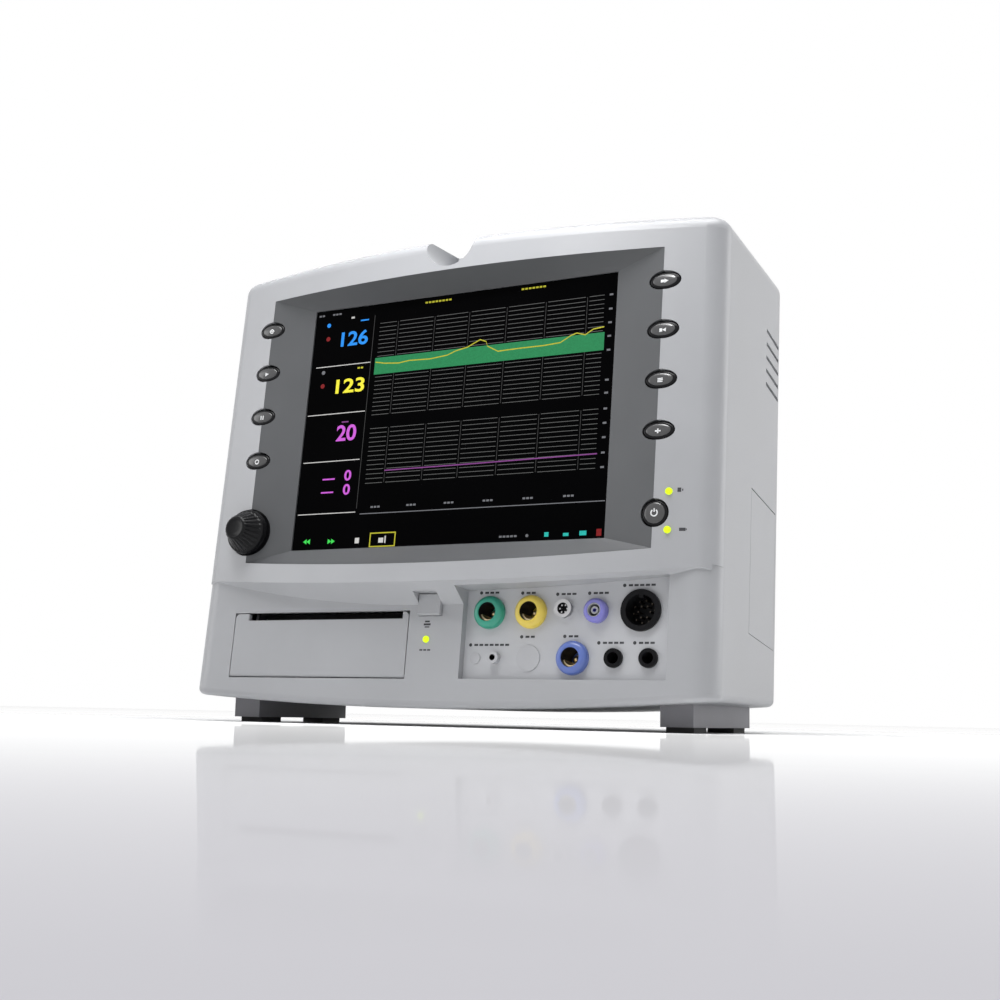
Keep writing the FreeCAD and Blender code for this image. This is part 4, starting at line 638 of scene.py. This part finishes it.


# Screw recesses on the back: dark crosses on heads that are sunk into the rear housing, painted shade in the
# place of their cross slots

SCREW_PLACES = ((-140, 270), (140, 270), (-153, 77), (153, 38))
SCREW_SEAT, SCREW_HEAD = 9, 2.6
SCREW_FACE = REAR_FACE - SCREW_SEAT + SCREW_HEAD
CROSS_LONG, CROSS_WIDE = 3.6, 0.9
crosses = []
for x, z in SCREW_PLACES:
    crosses += [bar(x, z, CROSS_LONG, CROSS_WIDE, SCREW_FACE - 0.05, SCREW_FACE + 0.04),
                bar(x, z, CROSS_WIDE, CROSS_LONG, SCREW_FACE - 0.05, SCREW_FACE + 0.05)]
build("screw_cross_shade", crosses, DARK_PRINT_AND_SHADE)


# Floor, light and camera, in metres

EYE = Vector((0.41535, -0.784885, 0.00751))
FLOOR_HALF = 4.0
# Distances from the point on the floor below the eye, with the colour and the share of mirror there. The
# colours are painted shade: greyer close to the eye and near white further off.
RAMP_REACH = 2.0
FLOOR_SHADE_COLOURS = ((0.04, (0.66, 0.652, 0.685)), (0.3, (0.82, 0.82, 0.83)), (0.6, grey(0.97)))
FLOOR_MIRROR = ((0.045, grey(0)), (0.25, grey(0.46)), (0.7, grey(0.46)), (0.79, grey(0.03)),
                (1.05, grey(0.03)), (1.4, grey(1)))


def by_distance(tree, value, stops):
    """A colour ramp over a distance: each stop gives a distance and the colour there."""
    share = tree.nodes.new("ShaderNodeMath")
    share.operation = "DIVIDE"
    share.inputs[1].default_value = RAMP_REACH
    tree.links.new(value, share.inputs[0])
    scale = tree.nodes.new("ShaderNodeValToRGB")
    marks = scale.color_ramp.elements
    marks.remove(marks[1])
    for number, (distance, colour) in enumerate(stops):
        stop = marks[0] if number == 0 else marks.new(distance / RAMP_REACH)
        stop.position = distance / RAMP_REACH
        stop.color = (*colour, 1)
    tree.links.new(share.outputs["Value"], scale.inputs["Fac"])
    return scale.outputs["Color"]


def floor_material(eye):
    """A pale floor: light grey and matt close to the eye, where the grey is painted shade, polished before
    the part, matt under it so that its shadow stays, and all mirror far behind it."""
    material = bpy.data.materials.new("studio_floor")
    material.use_nodes = True
    tree = material.node_tree
    tree.nodes.remove(tree.nodes["Principled BSDF"])
    place = tree.nodes.new("ShaderNodeTexCoord")
    away = tree.nodes.new("ShaderNodeVectorMath")
    away.operation = "DISTANCE"
    away.inputs[1].default_value = eye
    tree.links.new(place.outputs["Object"], away.inputs[0])
    matt = tree.nodes.new("ShaderNodeBsdfDiffuse")
    mirror = tree.nodes.new("ShaderNodeBsdfGlossy")
    mirror.inputs["Color"].default_value = (1, 1, 1, 1)
    mirror.inputs["Roughness"].default_value = 0.03
    mix = tree.nodes.new("ShaderNodeMixShader")
    tree.links.new(by_distance(tree, away.outputs["Value"], FLOOR_SHADE_COLOURS), matt.inputs["Color"])
    tree.links.new(by_distance(tree, away.outputs["Value"], FLOOR_MIRROR), mix.inputs["Fac"])
    tree.links.new(matt.outputs["BSDF"], mix.inputs[1])
    tree.links.new(mirror.outputs["BSDF"], mix.inputs[2])
    tree.links.new(mix.outputs["Shader"], tree.nodes["Material Output"].inputs["Surface"])
    return material


ground = bpy.data.meshes.new("studio_floor")
ground.from_pydata([(-FLOOR_HALF, -FLOOR_HALF, 0), (FLOOR_HALF, -FLOOR_HALF, 0),
                    (FLOOR_HALF, FLOOR_HALF, 0), (-FLOOR_HALF, FLOOR_HALF, 0)], [], [(0, 1, 2, 3)])
ground.materials.append(floor_material((EYE.x, EYE.y, 0)))
floor = bpy.data.objects.new("studio_floor", ground)
bpy.context.scene.collection.objects.link(floor)

# White to the eye and in mirrors, and a weak cool fill for everything else
world = bpy.data.worlds.new("studio")
world.use_nodes = True
bpy.context.scene.world = world
sky = world.node_tree
fill = sky.nodes["Background"]
fill.inputs["Color"].default_value = (0.95, 0.96, 1.0, 1)
fill.inputs["Strength"].default_value = 0.17
paper = sky.nodes.new("ShaderNodeBackground")
paper.inputs["Color"].default_value = (1, 1, 1, 1)
paper.inputs["Strength"].default_value = 1.0
path = sky.nodes.new("ShaderNodeLightPath")
shown = path.outputs["Is Camera Ray"]
for ray in ("Is Glossy Ray", "Is Transmission Ray"):
    either = sky.nodes.new("ShaderNodeMath")
    either.operation = "MAXIMUM"
    sky.links.new(shown, either.inputs[0])
    sky.links.new(path.outputs[ray], either.inputs[1])
    shown = either.outputs["Value"]
choose = sky.nodes.new("ShaderNodeMixShader")
sky.links.new(shown, choose.inputs["Fac"])
sky.links.new(fill.outputs["Background"], choose.inputs[1])
sky.links.new(paper.outputs["Background"], choose.inputs[2])
sky.links.new(choose.outputs["Shader"], sky.nodes["World Output"].inputs["Surface"])

PART_MIDDLE = (0, 0, 0.15)
TOP_OF_FRONT = (0.01, -0.085, 0.287)


def softbox(name, place, target, width, height, power, spread=180):
    """A rectangular light, aimed at a target, with a beam that spreads by so many degrees."""
    lamp = bpy.data.lights.new(name, "AREA")
    lamp.shape = "RECTANGLE"
    lamp.size, lamp.size_y = width, height
    lamp.energy = power
    lamp.spread = math.radians(spread)
    holder = bpy.data.objects.new(name, lamp)
    bpy.context.scene.collection.objects.link(holder)
    holder.location = place
    holder.rotation_euler = (Vector(target) - Vector(place)).to_track_quat("-Z", "Y").to_euler()


softbox("top_light", (0.1, -0.25, 1.3), PART_MIDDLE, 1.2, 0.8, 21)
softbox("strip_light", (0.01, -0.42, 0.62), TOP_OF_FRONT, 0.2, 0.08, 0.13, 42)
softbox("left_light", (-1.5, -0.9, 0.6), PART_MIDDLE, 0.9, 0.9, 4.2)
softbox("back_right_light", (1.25, 1.0, 0.6), PART_MIDDLE, 0.9, 0.9, 5.8)

YAW, PITCH, ROLL = (math.radians(angle) for angle in (27.77, 8.64, 1.27))
ahead = Vector((-math.sin(YAW) * math.cos(PITCH), math.cos(YAW) * math.cos(PITCH), math.sin(PITCH)))
level_right = Vector((math.cos(YAW), math.sin(YAW), 0))
level_up = level_right.cross(ahead)
rolled_right = math.cos(ROLL) * level_right + math.sin(ROLL) * level_up
rolled_up = math.cos(ROLL) * level_up - math.sin(ROLL) * level_right
lens = bpy.data.cameras.new("camera")
lens.sensor_width = 36
lens.lens = 50.93
lens.clip_start = 0.005
camera = bpy.data.objects.new("camera", lens)
bpy.context.scene.collection.objects.link(camera)
camera.matrix_world = Matrix((rolled_right, rolled_up, -ahead)).transposed().to_4x4()
camera.location = EYE
bpy.context.scene.camera = camera

bpy.context.scene.view_settings.view_transform = "Standard"
